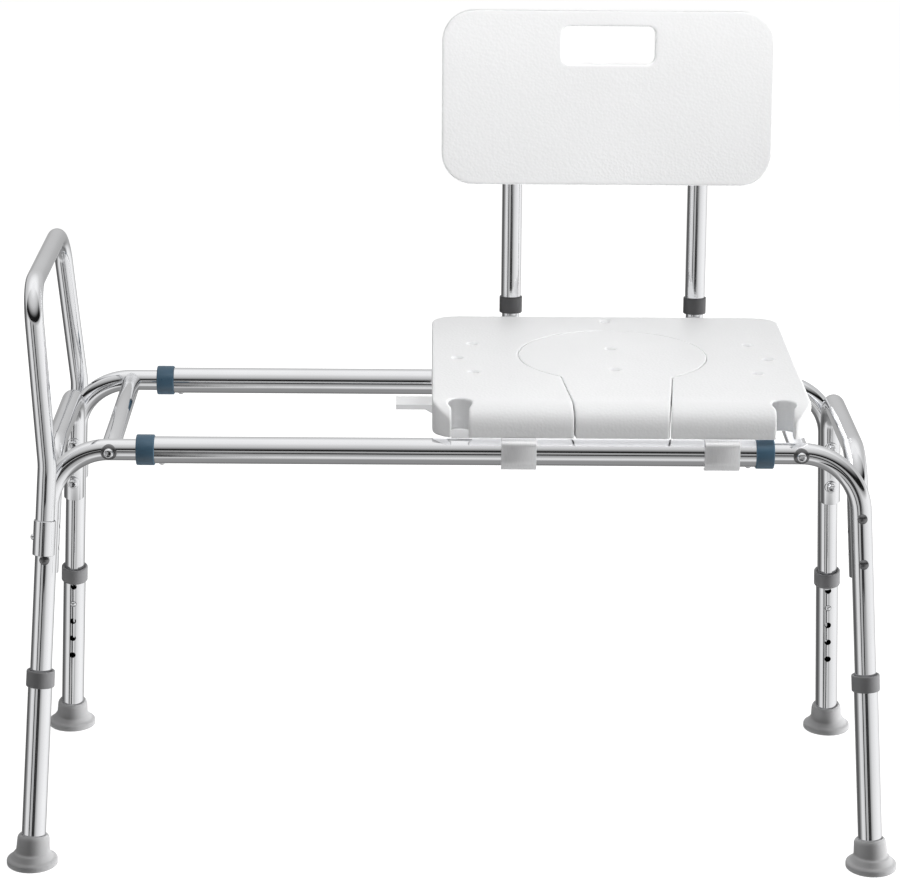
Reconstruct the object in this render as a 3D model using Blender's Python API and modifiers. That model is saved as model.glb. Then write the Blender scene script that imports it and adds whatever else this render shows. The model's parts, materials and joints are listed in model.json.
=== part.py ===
"""Sliding bath transfer bench, built as an assembly of separate parts.

Metres, +Z up. X runs along the two rails, with the assist handle at -X. -Y is the front.
The origin is on the floor, below the middle of the whole bench. The sliding seat stands near
the +X end of the rails, which is its rest position.
"""
import math

import bmesh
import bpy
from mathutils import Matrix, Vector

# ---------------------------------------------------------------- driving dimensions (metres)
FRAME_MIDDLE_Y = -0.0275       # the frame's middle plane, seen from the bench's own middle
FIT_GAP = 0.0003               # gap between parts that touch
RAIL_HEIGHT = 0.498            # height of the rail axes
RAIL_SPREAD = 0.147            # rail axis to the frame's middle plane
FOOT_SPREAD_X = 0.503
FOOT_SPREAD_Y = 0.218
LEG_TOP_X = 0.475              # where a leg axis would meet the rail's height

RAIL_RADIUS = 0.015875
RAIL_WALL = 0.0018
RAIL_HALF_LENGTH = 0.372
FRAME_TUBE_RADIUS = 0.0127
FRAME_TUBE_BORE = 0.0112
FRAME_TUBE_IN_RAIL = 0.060
FRAME_BEND_RADIUS = 0.072
LOWER_LEG_RADIUS = 0.0143
LOWER_LEG_BORE = 0.0132
HANDLE_RADIUS = 0.0111
BACK_TUBE_BORE = 0.0116
SOCKET_BORE = 0.0116
SOCKET_RADIUS = 0.0129

RAIL_COLLAR_RADIUS = 0.01815
RAIL_COLLAR_LENGTH = 0.0216
RAIL_COLLAR_END = 0.374
RAIL_BUTTON_X = 0.3445
CROSSBAR_X = 0.4055
CROSSBAR_RADIUS = 0.0111
BOLT_HOLE_RADIUS = 0.0033
BOLT_RADIUS = 0.0029

UPPER_LEG_END_Z = 0.140
LOWER_LEG_TOP_Z = 0.2335
LOWER_LEG_END_Z = 0.011
LEG_COLLAR_Z = 0.2255
LEG_COLLAR_RADIUS = 0.01685
LEG_COLLAR_LENGTH = 0.020
LEG_BUTTON_Z = 0.1865
HOLE_PITCH = 0.0254
HOLE_STEPS = (1, 0, -1, -2, -3)
BUTTON_RADIUS = 0.0037
BUTTON_HOLE_RADIUS = 0.0042
BUTTON_PROUD = 0.0027          # how far a button's top stands out of its tube

FOOT_RADIUS = 0.0305
FOOT_RIM_HEIGHT = 0.008
FOOT_CUFF_RADIUS = 0.0190
FOOT_CUFF_TOP_Z = 0.036

BOW_END_Z = 0.344
BOW_TOP_Z = 0.489
BOW_BEND_RADIUS = 0.048
BOW_BORE_DEPTH = 0.060

HANDLE_KINK_Z = 0.484
HANDLE_TOP_X = 0.4915
HANDLE_TOP_Z = 0.692
HANDLE_TOP_SPREAD = 0.1443
HANDLE_BEND_RADIUS = 0.050
SOCKET_MIDDLE_Z = {-1: 0.3985, 1: 0.3725}   # front, rear
SOCKET_HALF_LENGTH = 0.0205

SEAT_X = 0.195                 # middle of the seat, at rest
SEAT_WIDTH = 0.445
SEAT_FRONT_Y = -0.163
SEAT_BACK_Y = 0.246
SEAT_BOTTOM_Z = 0.5190
SEAT_TOP_Z = 0.5580
SEAT_CORNER_RADIUS = 0.030
SEAT_FRONT_ROUND = 0.026
SEAT_SKIN = 0.0035
NOTCH_OFFSET_X = 0.190
NOTCH_Y = -0.141
NOTCH_RADIUS = 0.0148
NOTCH_SLOT_WIDTH = 0.0225
INSERT_LOBE_Y = 0.062
INSERT_LOBE_RADIUS = 0.116
INSERT_NECK_BACK = 0.067       # half width where the neck leaves the lobe
INSERT_NECK_FRONT = 0.055      # half width at the seat's front edge
INSERT_GAP = 0.0006
DRAIN_SIZE = (0.0062, 0.0072)
SEAT_DRAINS = ((-0.172, 0.113), (-0.191, 0.048), (-0.172, -0.015),
               (0.172, 0.113), (0.191, 0.048), (0.172, -0.015), (0.0, 0.2235))
INSERT_DRAINS = ((0.0, 0.093), (0.0, -0.001))

BRACKET_X = (0.0741, 0.3125)
BRACKET_WIDTH = 0.041
BRACKET_THICKNESS = 0.003
BRACKET_RAIL_GAP = 0.0006
BRACKET_LIP_LENGTH = 0.014

BACK_X = (0.0745, 0.3125)
BACK_LEAN = math.radians(5.0)
BACK_SUPPORT_Y = 0.2620        # axis of the upright, where it passes the seat's back edge
BACK_SUPPORT_Z = 0.500
BACK_SUPPORT_BEND = 0.026
BACK_SUPPORT_TOP = 0.085       # above the collar's middle, along the upright
BACK_COLLAR_Z = 0.5700
BACK_COLLAR_RADIUS = 0.0146
BACK_COLLAR_LENGTH = 0.021
BACK_TUBE_TOP = 0.330          # top of the upper tube above the collar's middle
BACK_BUTTON_RISE = 0.040
BACKREST_WIDTH = 0.420
BACKREST_HEIGHT = 0.220
BACKREST_THICKNESS = 0.022
BACKREST_CORNER_RADIUS = 0.040
BACKREST_BOTTOM = 0.160        # above the collar's middle, along the upright
HAND_SLOT_WIDTH = 0.118
HAND_SLOT_HEIGHT = 0.048
HAND_SLOT_BELOW_TOP = 0.043    # slot's middle below the backrest's top edge

HOUSING_MIN = Vector((-0.004, -0.075, 0.4860))
HOUSING_MAX = Vector((0.046, 0.055, 0.5187))
LEVER_Y = 0.026
LEVER_WIDTH = 0.038
LEVER_TIP_X = -0.0715
LEVER_PIVOT_X = 0.018
LEVER_PIVOT_Z = 0.5040
LEVER_THICKNESS = 0.006
PLUNGER_RADIUS = 0.005
PLUNGER_X = 0.036

# ---------------------------------------------------------------- colours (linear), metallic, roughness
ALUMINIUM = ("polished_aluminium", (0.80, 0.81, 0.83), 1.0, 0.12)
SATIN = ("satin_aluminium", (0.70, 0.71, 0.72), 1.0, 0.35)
STEEL = ("bolt_steel", (0.62, 0.63, 0.65), 1.0, 0.20)
WHITE = ("white_plastic", (0.86, 0.87, 0.88), 0.0, 0.45)
BLUE = ("blue_plastic", (0.075, 0.13, 0.19), 0.0, 0.35)
GREY = ("grey_plastic", (0.16, 0.16, 0.165), 0.0, 0.50)
RUBBER = ("grey_rubber", (0.14, 0.14, 0.15), 0.0, 0.70)

CORNERS = {"front_left": (-1, -1), "front_right": (1, -1), "rear_left": (-1, 1), "rear_right": (1, 1)}
SIDES = {"left": -1, "right": 1}
ROUND_STEPS = 14
RING_STEPS = 16
BUTTON_STEPS = 10
BORE_STEPS = 8


# ---------------------------------------------------------------- scene helpers
def clear_scene():
    for item in list(bpy.data.objects):
        bpy.data.objects.remove(item, do_unlink=True)


def make_collection(name):
    collection = bpy.data.collections.new(name)
    bpy.context.scene.collection.children.link(collection)
    return collection


clear_scene()
PARTS = make_collection("transfer_bench")
CUTTERS = make_collection("cutters")
FRAME_MIDDLE = Vector((0.0, FRAME_MIDDLE_Y, 0.0))


def make_material(name, finish):
    label, colour, metallic, roughness = finish
    material = bpy.data.materials.new(name + "_" + label)
    material.use_nodes = True
    shader = material.node_tree.nodes["Principled BSDF"]
    shader.inputs["Base Color"].default_value = (*colour, 1.0)
    shader.inputs["Metallic"].default_value = metallic
    shader.inputs["Roughness"].default_value = roughness
    material.diffuse_color = (*colour, 1.0)
    return material


def add_object(name, data, origin, axis_z=Vector((0, 0, 1)), finish=None):
    """Place an object in the frame's axes. A part has a finish, a cutter has none."""
    obj = bpy.data.objects.new(name, data)
    if finish is None:
        CUTTERS.objects.link(obj)
        obj.hide_render = True
        obj.display_type = 'WIRE'
    else:
        PARTS.objects.link(obj)
        data.materials.append(make_material(name, finish))
    obj.matrix_world = axes_matrix(origin + FRAME_MIDDLE, axis_z)
    return obj


def axes_matrix(origin, axis_z):
    z = axis_z.normalized()
    guide = Vector((0, 0, 1)) if abs(z.z) < 0.9 else Vector((1, 0, 0))
    x = (guide - z * guide.dot(z)).normalized()
    y = z.cross(x)
    matrix = Matrix((x, y, z)).transposed().to_4x4()
    matrix.translation = origin
    return matrix


def cut(target, cutter, operation='DIFFERENCE'):
    modifier = target.modifiers.new(cutter.name, 'BOOLEAN')
    modifier.operation = operation
    modifier.solver = 'EXACT'
    modifier.object = cutter


# ---------------------------------------------------------------- shape helpers
def turned(name, profile, steps, origin, axis, finish=None, closed=False):
    """Turn a profile of (radius, height) points around local Z. It runs down its outer side."""
    mesh = bpy.data.meshes.new(name)
    verts = [(radius, 0.0, height) for radius, height in profile]
    edges = [(i, i + 1) for i in range(len(profile) - 1)]
    if closed:
        edges.append((len(profile) - 1, 0))
    mesh.from_pydata(verts, edges, [])
    obj = add_object(name, mesh, origin, axis, finish=finish)
    screw = obj.modifiers.new("turn", 'SCREW')
    screw.axis = 'Z'
    screw.steps = steps
    screw.render_steps = steps
    screw.use_merge_vertices = True
    screw.merge_threshold = 0.00001
    screw.use_smooth_shade = False
    return obj


def turned_tube(name, outer, inner, low, high, steps, origin, axis, finish):
    profile = [(outer, high), (outer, low), (inner, low), (inner, high)]
    return turned(name, profile, steps, origin, axis, finish, closed=True)


def round_cutter(name, radius, low, high, origin, axis, steps=BUTTON_STEPS, stretch=1.0):
    """A cylinder along its axis, from low to high. Stretch widens it along local X."""
    mesh = bpy.data.meshes.new(name)
    shape = bmesh.new()
    bmesh.ops.create_cone(shape, cap_ends=True, segments=steps, radius1=radius, radius2=radius,
                          depth=high - low)
    bmesh.ops.translate(shape, verts=shape.verts, vec=(0, 0, (low + high) / 2))
    bmesh.ops.scale(shape, verts=shape.verts, vec=(stretch, 1, 1))
    shape.to_mesh(mesh)
    shape.free()
    return add_object(name, mesh, origin, axis)


def block(name, low, high, finish=None):
    """A box between two corners, in the frame's axes."""
    mesh = bpy.data.meshes.new(name)
    shape = bmesh.new()
    bmesh.ops.create_cube(shape, size=1.0)
    bmesh.ops.scale(shape, verts=shape.verts, vec=high - low)
    shape.to_mesh(mesh)
    shape.free()
    return add_object(name, mesh, (low + high) / 2, finish=finish)


def bend(start, corner, end, radius, steps):
    """Points of the arc that rounds a corner."""
    to_start = (start - corner).normalized()
    to_end = (end - corner).normalized()
    half = to_start.angle(to_end) / 2
    reach = radius / math.tan(half)
    centre = corner + (to_start + to_end).normalized() * (radius / math.sin(half))
    first = corner + to_start * reach - centre
    last = corner + to_end * reach - centre
    sweep = first.angle(last)
    points = []
    for i in range(steps + 1):
        t = i / steps
        weight_first = math.sin((1 - t) * sweep) / math.sin(sweep)
        weight_last = math.sin(t * sweep) / math.sin(sweep)
        points.append(centre + first * weight_first + last * weight_last)
    return points


def bent_path(corners, radii, steps):
    """A path through corner points, each inner corner rounded with its own radius and step count."""
    points = [corners[0]]
    for i in range(1, len(corners) - 1):
        points += bend(corners[i - 1], corners[i], corners[i + 1], radii[i - 1], steps[i - 1])
    points.append(corners[-1])
    return points


def pipe(name, points, radius, sides, finish=None):
    """A round bar along a path, as a closed mesh with its origin at the path's start."""
    origin = points[0]
    curve = bpy.data.curves.new(name, 'CURVE')
    curve.dimensions = '3D'
    curve.bevel_depth = radius
    curve.bevel_resolution = (sides - 4) // 2
    curve.use_fill_caps = True
    spline = curve.splines.new('POLY')
    spline.points.add(len(points) - 1)
    for point, place in zip(spline.points, points):
        point.co = (*(place - origin), 1.0)
    return curve_to_part(name, curve, origin, Matrix.Identity(3), finish)


def curve_to_part(name, curve, origin, turn, finish=None):
    """Turn a curve into a closed mesh object, placed at an origin with a rotation."""
    source = bpy.data.objects.new(name + "_curve", curve)
    PARTS.objects.link(source)
    source.matrix_world = Matrix.Translation(origin + FRAME_MIDDLE) @ turn.to_4x4()
    bpy.context.view_layer.update()
    evaluated = source.evaluated_get(bpy.context.evaluated_depsgraph_get())
    mesh = bpy.data.meshes.new_from_object(evaluated)
    mesh.materials.clear()
    shape = bmesh.new()
    shape.from_mesh(mesh)
    bmesh.ops.remove_doubles(shape, verts=shape.verts, dist=0.00001)
    bmesh.ops.recalc_face_normals(shape, faces=shape.faces)
    shape.to_mesh(mesh)
    shape.free()
    place = source.matrix_world.copy()
    bpy.data.objects.remove(source, do_unlink=True)
    bpy.data.curves.remove(curve)
    obj = add_object(name, mesh, origin, finish=finish)
    obj.matrix_world = place
    return obj


def flat_outline(name, outline, thickness, origin, turn, finish=None):
    """A flat plate with a closed outline in its own XY plane, centred on its own Z."""
    curve = bpy.data.curves.new(name, 'CURVE')
    curve.dimensions = '2D'
    curve.fill_mode = 'BOTH'
    curve.extrude = thickness / 2
    spline = curve.splines.new('POLY')
    spline.points.add(len(outline) - 1)
    spline.use_cyclic_u = True
    for point, (x, y) in zip(spline.points, outline):
        point.co = (x, y, 0.0, 1.0)
    return curve_to_part(name, curve, origin, turn, finish)


def arc(centre_x, centre_y, radius, start, end, steps):
    """Points on an arc, with angles in degrees."""
    angles = [math.radians(start + (end - start) * i / steps) for i in range(steps + 1)]
    return [(centre_x + radius * math.cos(a), centre_y + radius * math.sin(a)) for a in angles]


def rounded_rectangle(low_x, low_y, high_x, high_y, radius, steps):
    outline = arc(high_x - radius, high_y - radius, radius, 0, 90, steps)
    outline += arc(low_x + radius, high_y - radius, radius, 90, 180, steps)
    outline += arc(low_x + radius, low_y + radius, radius, 180, 270, steps)
    outline += arc(high_x - radius, low_y + radius, radius, 270, 360, steps)
    return outline


# ---------------------------------------------------------------- leg geometry
def leg_axis(corner):
    """Unit vector down a leg."""
    side_x, side_y = corner
    down = Vector((side_x * (FOOT_SPREAD_X - LEG_TOP_X), side_y * (FOOT_SPREAD_Y - RAIL_SPREAD), -RAIL_HEIGHT))
    return down.normalized()


def leg_point(corner, height):
    side_x, side_y = corner
    top = Vector((side_x * LEG_TOP_X, side_y * RAIL_SPREAD, RAIL_HEIGHT))
    axis = leg_axis(corner)
    return top + axis * ((height - RAIL_HEIGHT) / axis.z)


def inward(corner):
    """Unit vector square to the plane of a bent leg frame, towards the bench's middle."""
    normal = Vector((1, 0, 0)).cross(leg_axis(corner)).normalized()
    return normal if normal.y * corner[1] < 0 else -normal


# ---------------------------------------------------------------- buttons
def button(name, origin, outward, bottom, top, finish=STEEL):
    """A domed spring button. Bottom and top are measured along the outward axis."""
    dome = BUTTON_RADIUS
    profile = [(0.0, top), (dome * 0.55, top - 0.0003), (dome * 0.87, top - 0.0010), (dome, top - 0.0020),
               (dome, bottom), (0.0, bottom)]
    return turned(name, profile, BUTTON_STEPS, origin, outward, finish)


def button_hole(target, name, origin, outward, low, high):
    cut(target, round_cutter(name, BUTTON_HOLE_RADIUS, low, high, origin, outward))


# ---------------------------------------------------------------- rails and their collars
def build_rails():
    for word, side_y in (("front", -1), ("rear", 1)):
        middle = Vector((0, side_y * RAIL_SPREAD, RAIL_HEIGHT))
        rail = turned_tube(word + "_rail", RAIL_RADIUS, RAIL_RADIUS - RAIL_WALL, -RAIL_HALF_LENGTH,
                           RAIL_HALF_LENGTH, RING_STEPS, middle, Vector((1, 0, 0)), ALUMINIUM)
        for side, side_x in SIDES.items():
            place = middle + Vector((side_x * RAIL_BUTTON_X, 0, 0))
            button_hole(rail, f"rail_hole_{word}_{side}", place, Vector((0, 0, -1)), 0.010, 0.020)


def build_rail_collar(name, corner):
    """Ring with an end lip, and a thin sleeve that centres the frame tube in the rail."""
    lip = 0.0017
    sleeve = 0.024
    outer_fit = RAIL_RADIUS + 0.00045
    inner_fit = FRAME_TUBE_RADIUS + 0.0004
    sleeve_radius = RAIL_RADIUS - RAIL_WALL - 0.0004
    profile = [(RAIL_COLLAR_RADIUS, 0.0), (RAIL_COLLAR_RADIUS, -RAIL_COLLAR_LENGTH),
               (outer_fit, -RAIL_COLLAR_LENGTH), (outer_fit, -lip), (sleeve_radius, -lip),
               (sleeve_radius, -sleeve), (inner_fit, -sleeve), (inner_fit, 0.0)]
    origin = Vector((corner[0] * RAIL_COLLAR_END, corner[1] * RAIL_SPREAD, RAIL_HEIGHT))
    turned("rail_collar_" + name, profile, RING_STEPS, origin, Vector((corner[0], 0, 0)), BLUE, closed=True)


def build_rail_button(name, corner):
    origin = Vector((corner[0] * RAIL_BUTTON_X, corner[1] * RAIL_SPREAD, RAIL_HEIGHT))
    button("rail_button_" + name, origin, Vector((0, 0, -1)), 0.0085, RAIL_RADIUS + 0.0024)


# ---------------------------------------------------------------- bent leg frames
def build_leg_frame(name, corner):
    """One bent tube: it starts inside the rail, turns down and ends inside the lower leg."""
    side_x, side_y = corner
    rail_end = Vector((side_x * (RAIL_HALF_LENGTH - FRAME_TUBE_IN_RAIL), side_y * RAIL_SPREAD, RAIL_HEIGHT))
    top = leg_point(corner, RAIL_HEIGHT)
    end = leg_point(corner, UPPER_LEG_END_Z)
    path = bent_path([rail_end, top, end], [FRAME_BEND_RADIUS], [6])
    frame = pipe("leg_frame_" + name, path, FRAME_TUBE_RADIUS, ROUND_STEPS, ALUMINIUM)
    overshoot = Vector((side_x * 0.01, 0, 0))
    bore_path = [rail_end - overshoot] + path[1:-1] + [end + leg_axis(corner) * 0.01]
    cut(frame, pipe("frame_bore_" + name, bore_path, FRAME_TUBE_BORE, BORE_STEPS))

    rail_button = Vector((side_x * RAIL_BUTTON_X, side_y * RAIL_SPREAD, RAIL_HEIGHT))
    button_hole(frame, "frame_rail_hole_" + name, rail_button, Vector((0, 0, -1)), 0.006, 0.016)
    cut(frame, round_cutter("frame_bolt_hole_" + name, BOLT_HOLE_RADIUS, -0.02, 0.02,
                            Vector((side_x * CROSSBAR_X, side_y * RAIL_SPREAD, RAIL_HEIGHT)), Vector((0, 1, 0)),
                            steps=8))
    cut_leg_slot(frame, name, corner)


def cut_leg_slot(frame, name, corner):
    """Slot inside the lower leg that a pressed leg button passes through."""
    axis = leg_axis(corner)
    slot_bottom = HOLE_PITCH + 0.0050
    slot_top = -0.0420             # clear of a button drawn up as the leg shortens
    middle = leg_point(corner, LEG_BUTTON_Z) + axis * (slot_bottom + slot_top) / 2
    middle += inward(corner) * FRAME_TUBE_RADIUS
    cutter = block("leg_slot_" + name, Vector((-0.0048, (slot_top - slot_bottom) / 2, -0.004)),
                   Vector((0.0048, (slot_bottom - slot_top) / 2, 0.004)))
    outward = inward(corner)
    side = axis.cross(outward)
    turn = Matrix((side, axis, outward)).transposed()
    cutter.matrix_world = Matrix.Translation(middle + FRAME_MIDDLE) @ turn.to_4x4()
    cut(frame, cutter)


# ---------------------------------------------------------------- crossbars
def build_crossbar(name, side_x):
    """Bar between the front and rear frame tubes, coped to them, with a bolt hole in each end."""
    middle = Vector((side_x * CROSSBAR_X, 0, RAIL_HEIGHT))
    across = Vector((0, 1, 0))
    reach = RAIL_SPREAD
    bar = turned("crossbar_" + name, [(0.0, reach), (CROSSBAR_RADIUS, reach), (CROSSBAR_RADIUS, -reach),
                                      (0.0, -reach)], RING_STEPS, middle, across, ALUMINIUM)
    cavity = 0.095
    wall = 0.0015
    cut(bar, turned("crossbar_bore_" + name,
                    [(0.0, reach + 0.01), (BOLT_HOLE_RADIUS, reach + 0.01), (BOLT_HOLE_RADIUS, cavity),
                     (CROSSBAR_RADIUS - wall, cavity), (CROSSBAR_RADIUS - wall, -cavity),
                     (BOLT_HOLE_RADIUS, -cavity), (BOLT_HOLE_RADIUS, -reach - 0.01), (0.0, -reach - 0.01)],
                    12, middle, across))
    for word, side_y in (("front", -1), ("rear", 1)):
        end = Vector((side_x * CROSSBAR_X, side_y * RAIL_SPREAD, RAIL_HEIGHT))
        cut(bar, round_cutter(f"crossbar_cope_{word}_{name}", FRAME_TUBE_RADIUS + 0.0004, -0.03, 0.03, end,
                              Vector((1, 0, 0)), steps=24))


def build_crossbar_bolt(name, corner):
    """Socket-head bolt with its saddle washer, from outside the frame tube into the crossbar's end."""
    seat = FRAME_TUBE_RADIUS + FIT_GAP
    washer = 0.0085
    head = 0.0055
    profile = [(0.0, seat + 0.0025), (0.0026, seat + 0.0025), (0.0026, seat + 0.0062),
               (head, seat + 0.0062), (head, seat + 0.0020), (washer, seat + 0.0016), (washer, seat),
               (BOLT_RADIUS, seat), (BOLT_RADIUS, -0.034), (0.0, -0.034)]
    origin = Vector((corner[0] * CROSSBAR_X, corner[1] * RAIL_SPREAD, RAIL_HEIGHT))
    turned("crossbar_bolt_" + name, profile, 12, origin, Vector((0, corner[1], 0)), STEEL)


# ---------------------------------------------------------------- end bows
def build_bow(name, side_x):
    """Arched tube bolted to the inner side of the two legs at one end."""
    offset = 2 * FRAME_TUBE_RADIUS + FIT_GAP
    front = (side_x, -1)
    rear = (side_x, 1)
    corners = []
    for corner, heights in ((front, (BOW_END_Z, BOW_TOP_Z)), (rear, (BOW_TOP_Z, BOW_END_Z))):
        lift = offset * inward(corner).z
        corners += [leg_point(corner, height - lift) + inward(corner) * offset for height in heights]
    path = bent_path(corners, [BOW_BEND_RADIUS, BOW_BEND_RADIUS], [5, 5])
    bow = pipe("end_bow_" + name, path, FRAME_TUBE_RADIUS, ROUND_STEPS, ALUMINIUM)
    for word, end, corner in (("front", corners[0], front), ("rear", corners[3], rear)):
        cut(bow, round_cutter(f"bow_bore_{word}_{name}", FRAME_TUBE_BORE, -0.01, BOW_BORE_DEPTH, end,
                              -leg_axis(corner)))


# ---------------------------------------------------------------- lower legs, collars and feet
def build_lower_leg(name, corner):
    """Height-adjusting tube around the end of the leg frame, with a row of button holes."""
    axis = leg_axis(corner)
    origin = leg_point(corner, LEG_BUTTON_Z)
    top = (LEG_BUTTON_Z - LOWER_LEG_TOP_Z) / axis.z
    bottom = (LEG_BUTTON_Z - LOWER_LEG_END_Z) / axis.z
    leg = turned_tube("lower_leg_" + name, LOWER_LEG_RADIUS, LOWER_LEG_BORE, bottom, top, RING_STEPS, origin,
                      -axis, ALUMINIUM)
    for step in HOLE_STEPS:
        place = origin - axis * (HOLE_PITCH * step)
        button_hole(leg, f"leg_hole_{name}_{step + 4}", place, inward(corner), 0.009, 0.018)
    build_leg_collar(name, corner)
    build_foot(name, corner)
    button("leg_button_" + name, origin, inward(corner), LOWER_LEG_BORE - 0.0002,
           LOWER_LEG_RADIUS + BUTTON_PROUD)


def build_leg_collar(name, corner):
    half = LEG_COLLAR_LENGTH / 2
    tube_top = (LOWER_LEG_TOP_Z - LEG_COLLAR_Z) / -leg_axis(corner).z
    outer_fit = LOWER_LEG_RADIUS + 0.0005
    inner_fit = FRAME_TUBE_RADIUS + 0.0004
    chamfer = 0.0012
    profile = [(LEG_COLLAR_RADIUS - chamfer, half), (LEG_COLLAR_RADIUS, half - chamfer),
               (LEG_COLLAR_RADIUS, -half + chamfer), (LEG_COLLAR_RADIUS - chamfer, -half), (outer_fit, -half),
               (outer_fit, tube_top + FIT_GAP), (inner_fit, tube_top + FIT_GAP), (inner_fit, half)]
    turned("leg_collar_" + name, profile, RING_STEPS, leg_point(corner, LEG_COLLAR_Z), -leg_axis(corner), GREY,
           closed=True)


def build_foot(name, corner):
    """Rubber foot: a level base flange and a cuff in line with the leg."""
    ground = leg_point(corner, 0.0)
    base = [(0.0, 0.016), (0.0215, 0.016), (0.0245, 0.0125), (FOOT_RADIUS - 0.002, FOOT_RIM_HEIGHT + 0.001),
            (FOOT_RADIUS, FOOT_RIM_HEIGHT - 0.001), (FOOT_RADIUS, 0.001), (FOOT_RADIUS - 0.001, 0.0), (0.0, 0.0)]
    foot = turned("foot_" + name, base, RING_STEPS, ground, Vector((0, 0, 1)), RUBBER)
    cuff = [(0.0, FOOT_CUFF_TOP_Z), (FOOT_CUFF_RADIUS - 0.0015, FOOT_CUFF_TOP_Z),
            (FOOT_CUFF_RADIUS, FOOT_CUFF_TOP_Z - 0.003), (FOOT_CUFF_RADIUS + 0.0015, 0.008), (0.0, 0.008)]
    cut(foot, turned("foot_cuff_" + name, cuff, RING_STEPS, ground, -leg_axis(corner)), 'UNION')
    depth = LOWER_LEG_END_Z / -leg_axis(corner).z - FIT_GAP
    cut(foot, round_cutter("foot_bore_" + name, LOWER_LEG_RADIUS + 0.0005, depth, 0.06, ground,
                           -leg_axis(corner), steps=RING_STEPS))


# ---------------------------------------------------------------- assist handle
def build_handle():
    """U-shaped grab handle that plugs into a socket on the outer side of each left leg."""
    offset = FRAME_TUBE_RADIUS + SOCKET_RADIUS + FIT_GAP
    lower = {}
    for side_y in (-1, 1):
        corner = (-1, side_y)
        out = -inward(corner) * offset
        end_z = SOCKET_MIDDLE_Z[side_y] - 0.017
        lower[side_y] = [leg_point(corner, height) + out for height in (end_z, HANDLE_KINK_Z)]
    tops = {side_y: Vector((-HANDLE_TOP_X, side_y * HANDLE_TOP_SPREAD, HANDLE_TOP_Z)) for side_y in (-1, 1)}
    corners = lower[-1] + [tops[-1], tops[1]] + lower[1][::-1]
    radii = [0.100, HANDLE_BEND_RADIUS, HANDLE_BEND_RADIUS, 0.100]
    path = bent_path(corners, radii, [2, 5, 5, 2])
    handle = pipe("assist_handle", path, HANDLE_RADIUS, ROUND_STEPS, ALUMINIUM)
    for word, side_y in (("front", -1), ("rear", 1)):
        build_handle_socket(handle, word, side_y, offset)


def build_handle_socket(handle, word, side_y, offset):
    corner = (-1, side_y)
    middle = leg_point(corner, SOCKET_MIDDLE_Z[side_y]) - inward(corner) * offset
    up = -leg_axis(corner)
    socket = turned_tube("handle_socket_" + word, SOCKET_RADIUS, SOCKET_BORE, -SOCKET_HALF_LENGTH,
                         SOCKET_HALF_LENGTH, RING_STEPS, middle, up, ALUMINIUM)
    away = Vector((-1, 0, 0)) if side_y < 0 else Vector((1, 0, 0))
    away = (away - up * away.dot(up)).normalized()
    button_hole(socket, "socket_hole_" + word, middle, away, 0.008, 0.016)
    button_hole(handle, "handle_hole_" + word, middle, away, 0.0045, 0.016)
    button("handle_button_" + word, middle, away, 0.0082, SOCKET_RADIUS + 0.0030)


# ---------------------------------------------------------------- seat
def insert_outline(grow):
    """Keyhole outline of the lift-out seat insert, from the seat's middle, grown on every side."""
    radius = INSERT_LOBE_RADIUS + grow
    half_back = INSERT_NECK_BACK + grow
    half_front = INSERT_NECK_FRONT + grow
    meet = -math.degrees(math.acos(half_back / radius))
    front_y = SEAT_FRONT_Y - 0.010 if grow > 0 else SEAT_FRONT_Y
    outline = arc(0.0, INSERT_LOBE_Y, radius, meet, 180 - meet, 20)
    outline += [(-half_front, front_y), (half_front, front_y)]
    return outline


def seat_outline(shrink):
    half = SEAT_WIDTH / 2 - shrink
    return rounded_rectangle(-half, SEAT_FRONT_Y + shrink, half, SEAT_BACK_Y - shrink,
                             SEAT_CORNER_RADIUS - shrink, 4)


def seat_plate(name, outline, low, high, finish=None):
    origin = Vector((SEAT_X, 0, (low + high) / 2))
    return flat_outline(name, outline, high - low, origin, Matrix.Identity(3), finish)


def front_round_cutter(name):
    """Removes the material in front of the seat's rounded front edge."""
    radius = SEAT_FRONT_ROUND
    over = 0.02
    centre_y = SEAT_FRONT_Y + radius
    centre_z = SEAT_TOP_Z - radius
    outline = arc(centre_y, centre_z, radius, 90, 180, 5)
    outline += [(SEAT_FRONT_Y - over, centre_z), (SEAT_FRONT_Y - over, SEAT_TOP_Z + over),
                (centre_y, SEAT_TOP_Z + over)]
    along_x = Matrix(((0, 0, 1), (1, 0, 0), (0, 1, 0)))
    return flat_outline(name, outline, SEAT_WIDTH + 0.04, Vector((SEAT_X, 0, 0)), along_x)


def drain(name, offset, low, high, grow=0.0):
    size_x, size_y = DRAIN_SIZE
    cutter = round_cutter(name, size_y / 2 + grow, low, high, Vector((SEAT_X + offset[0], offset[1], 0)),
                          Vector((0, 0, 1)), steps=8, stretch=(size_x / 2 + grow) / (size_y / 2 + grow))
    return cutter


def notch_outline(side, grow):
    """Hand-shower notch: a round pocket with a slot to the seat's front edge."""
    middle = side * NOTCH_OFFSET_X
    radius = NOTCH_RADIUS + grow
    half_slot = NOTCH_SLOT_WIDTH / 2 + grow
    meet = math.degrees(math.acos(half_slot / radius))
    outline = arc(middle, NOTCH_Y, radius, -meet, 180 + meet, 10)
    front_y = SEAT_FRONT_Y - 0.020
    return outline + [(middle - half_slot, front_y), (middle + half_slot, front_y)]


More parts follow.
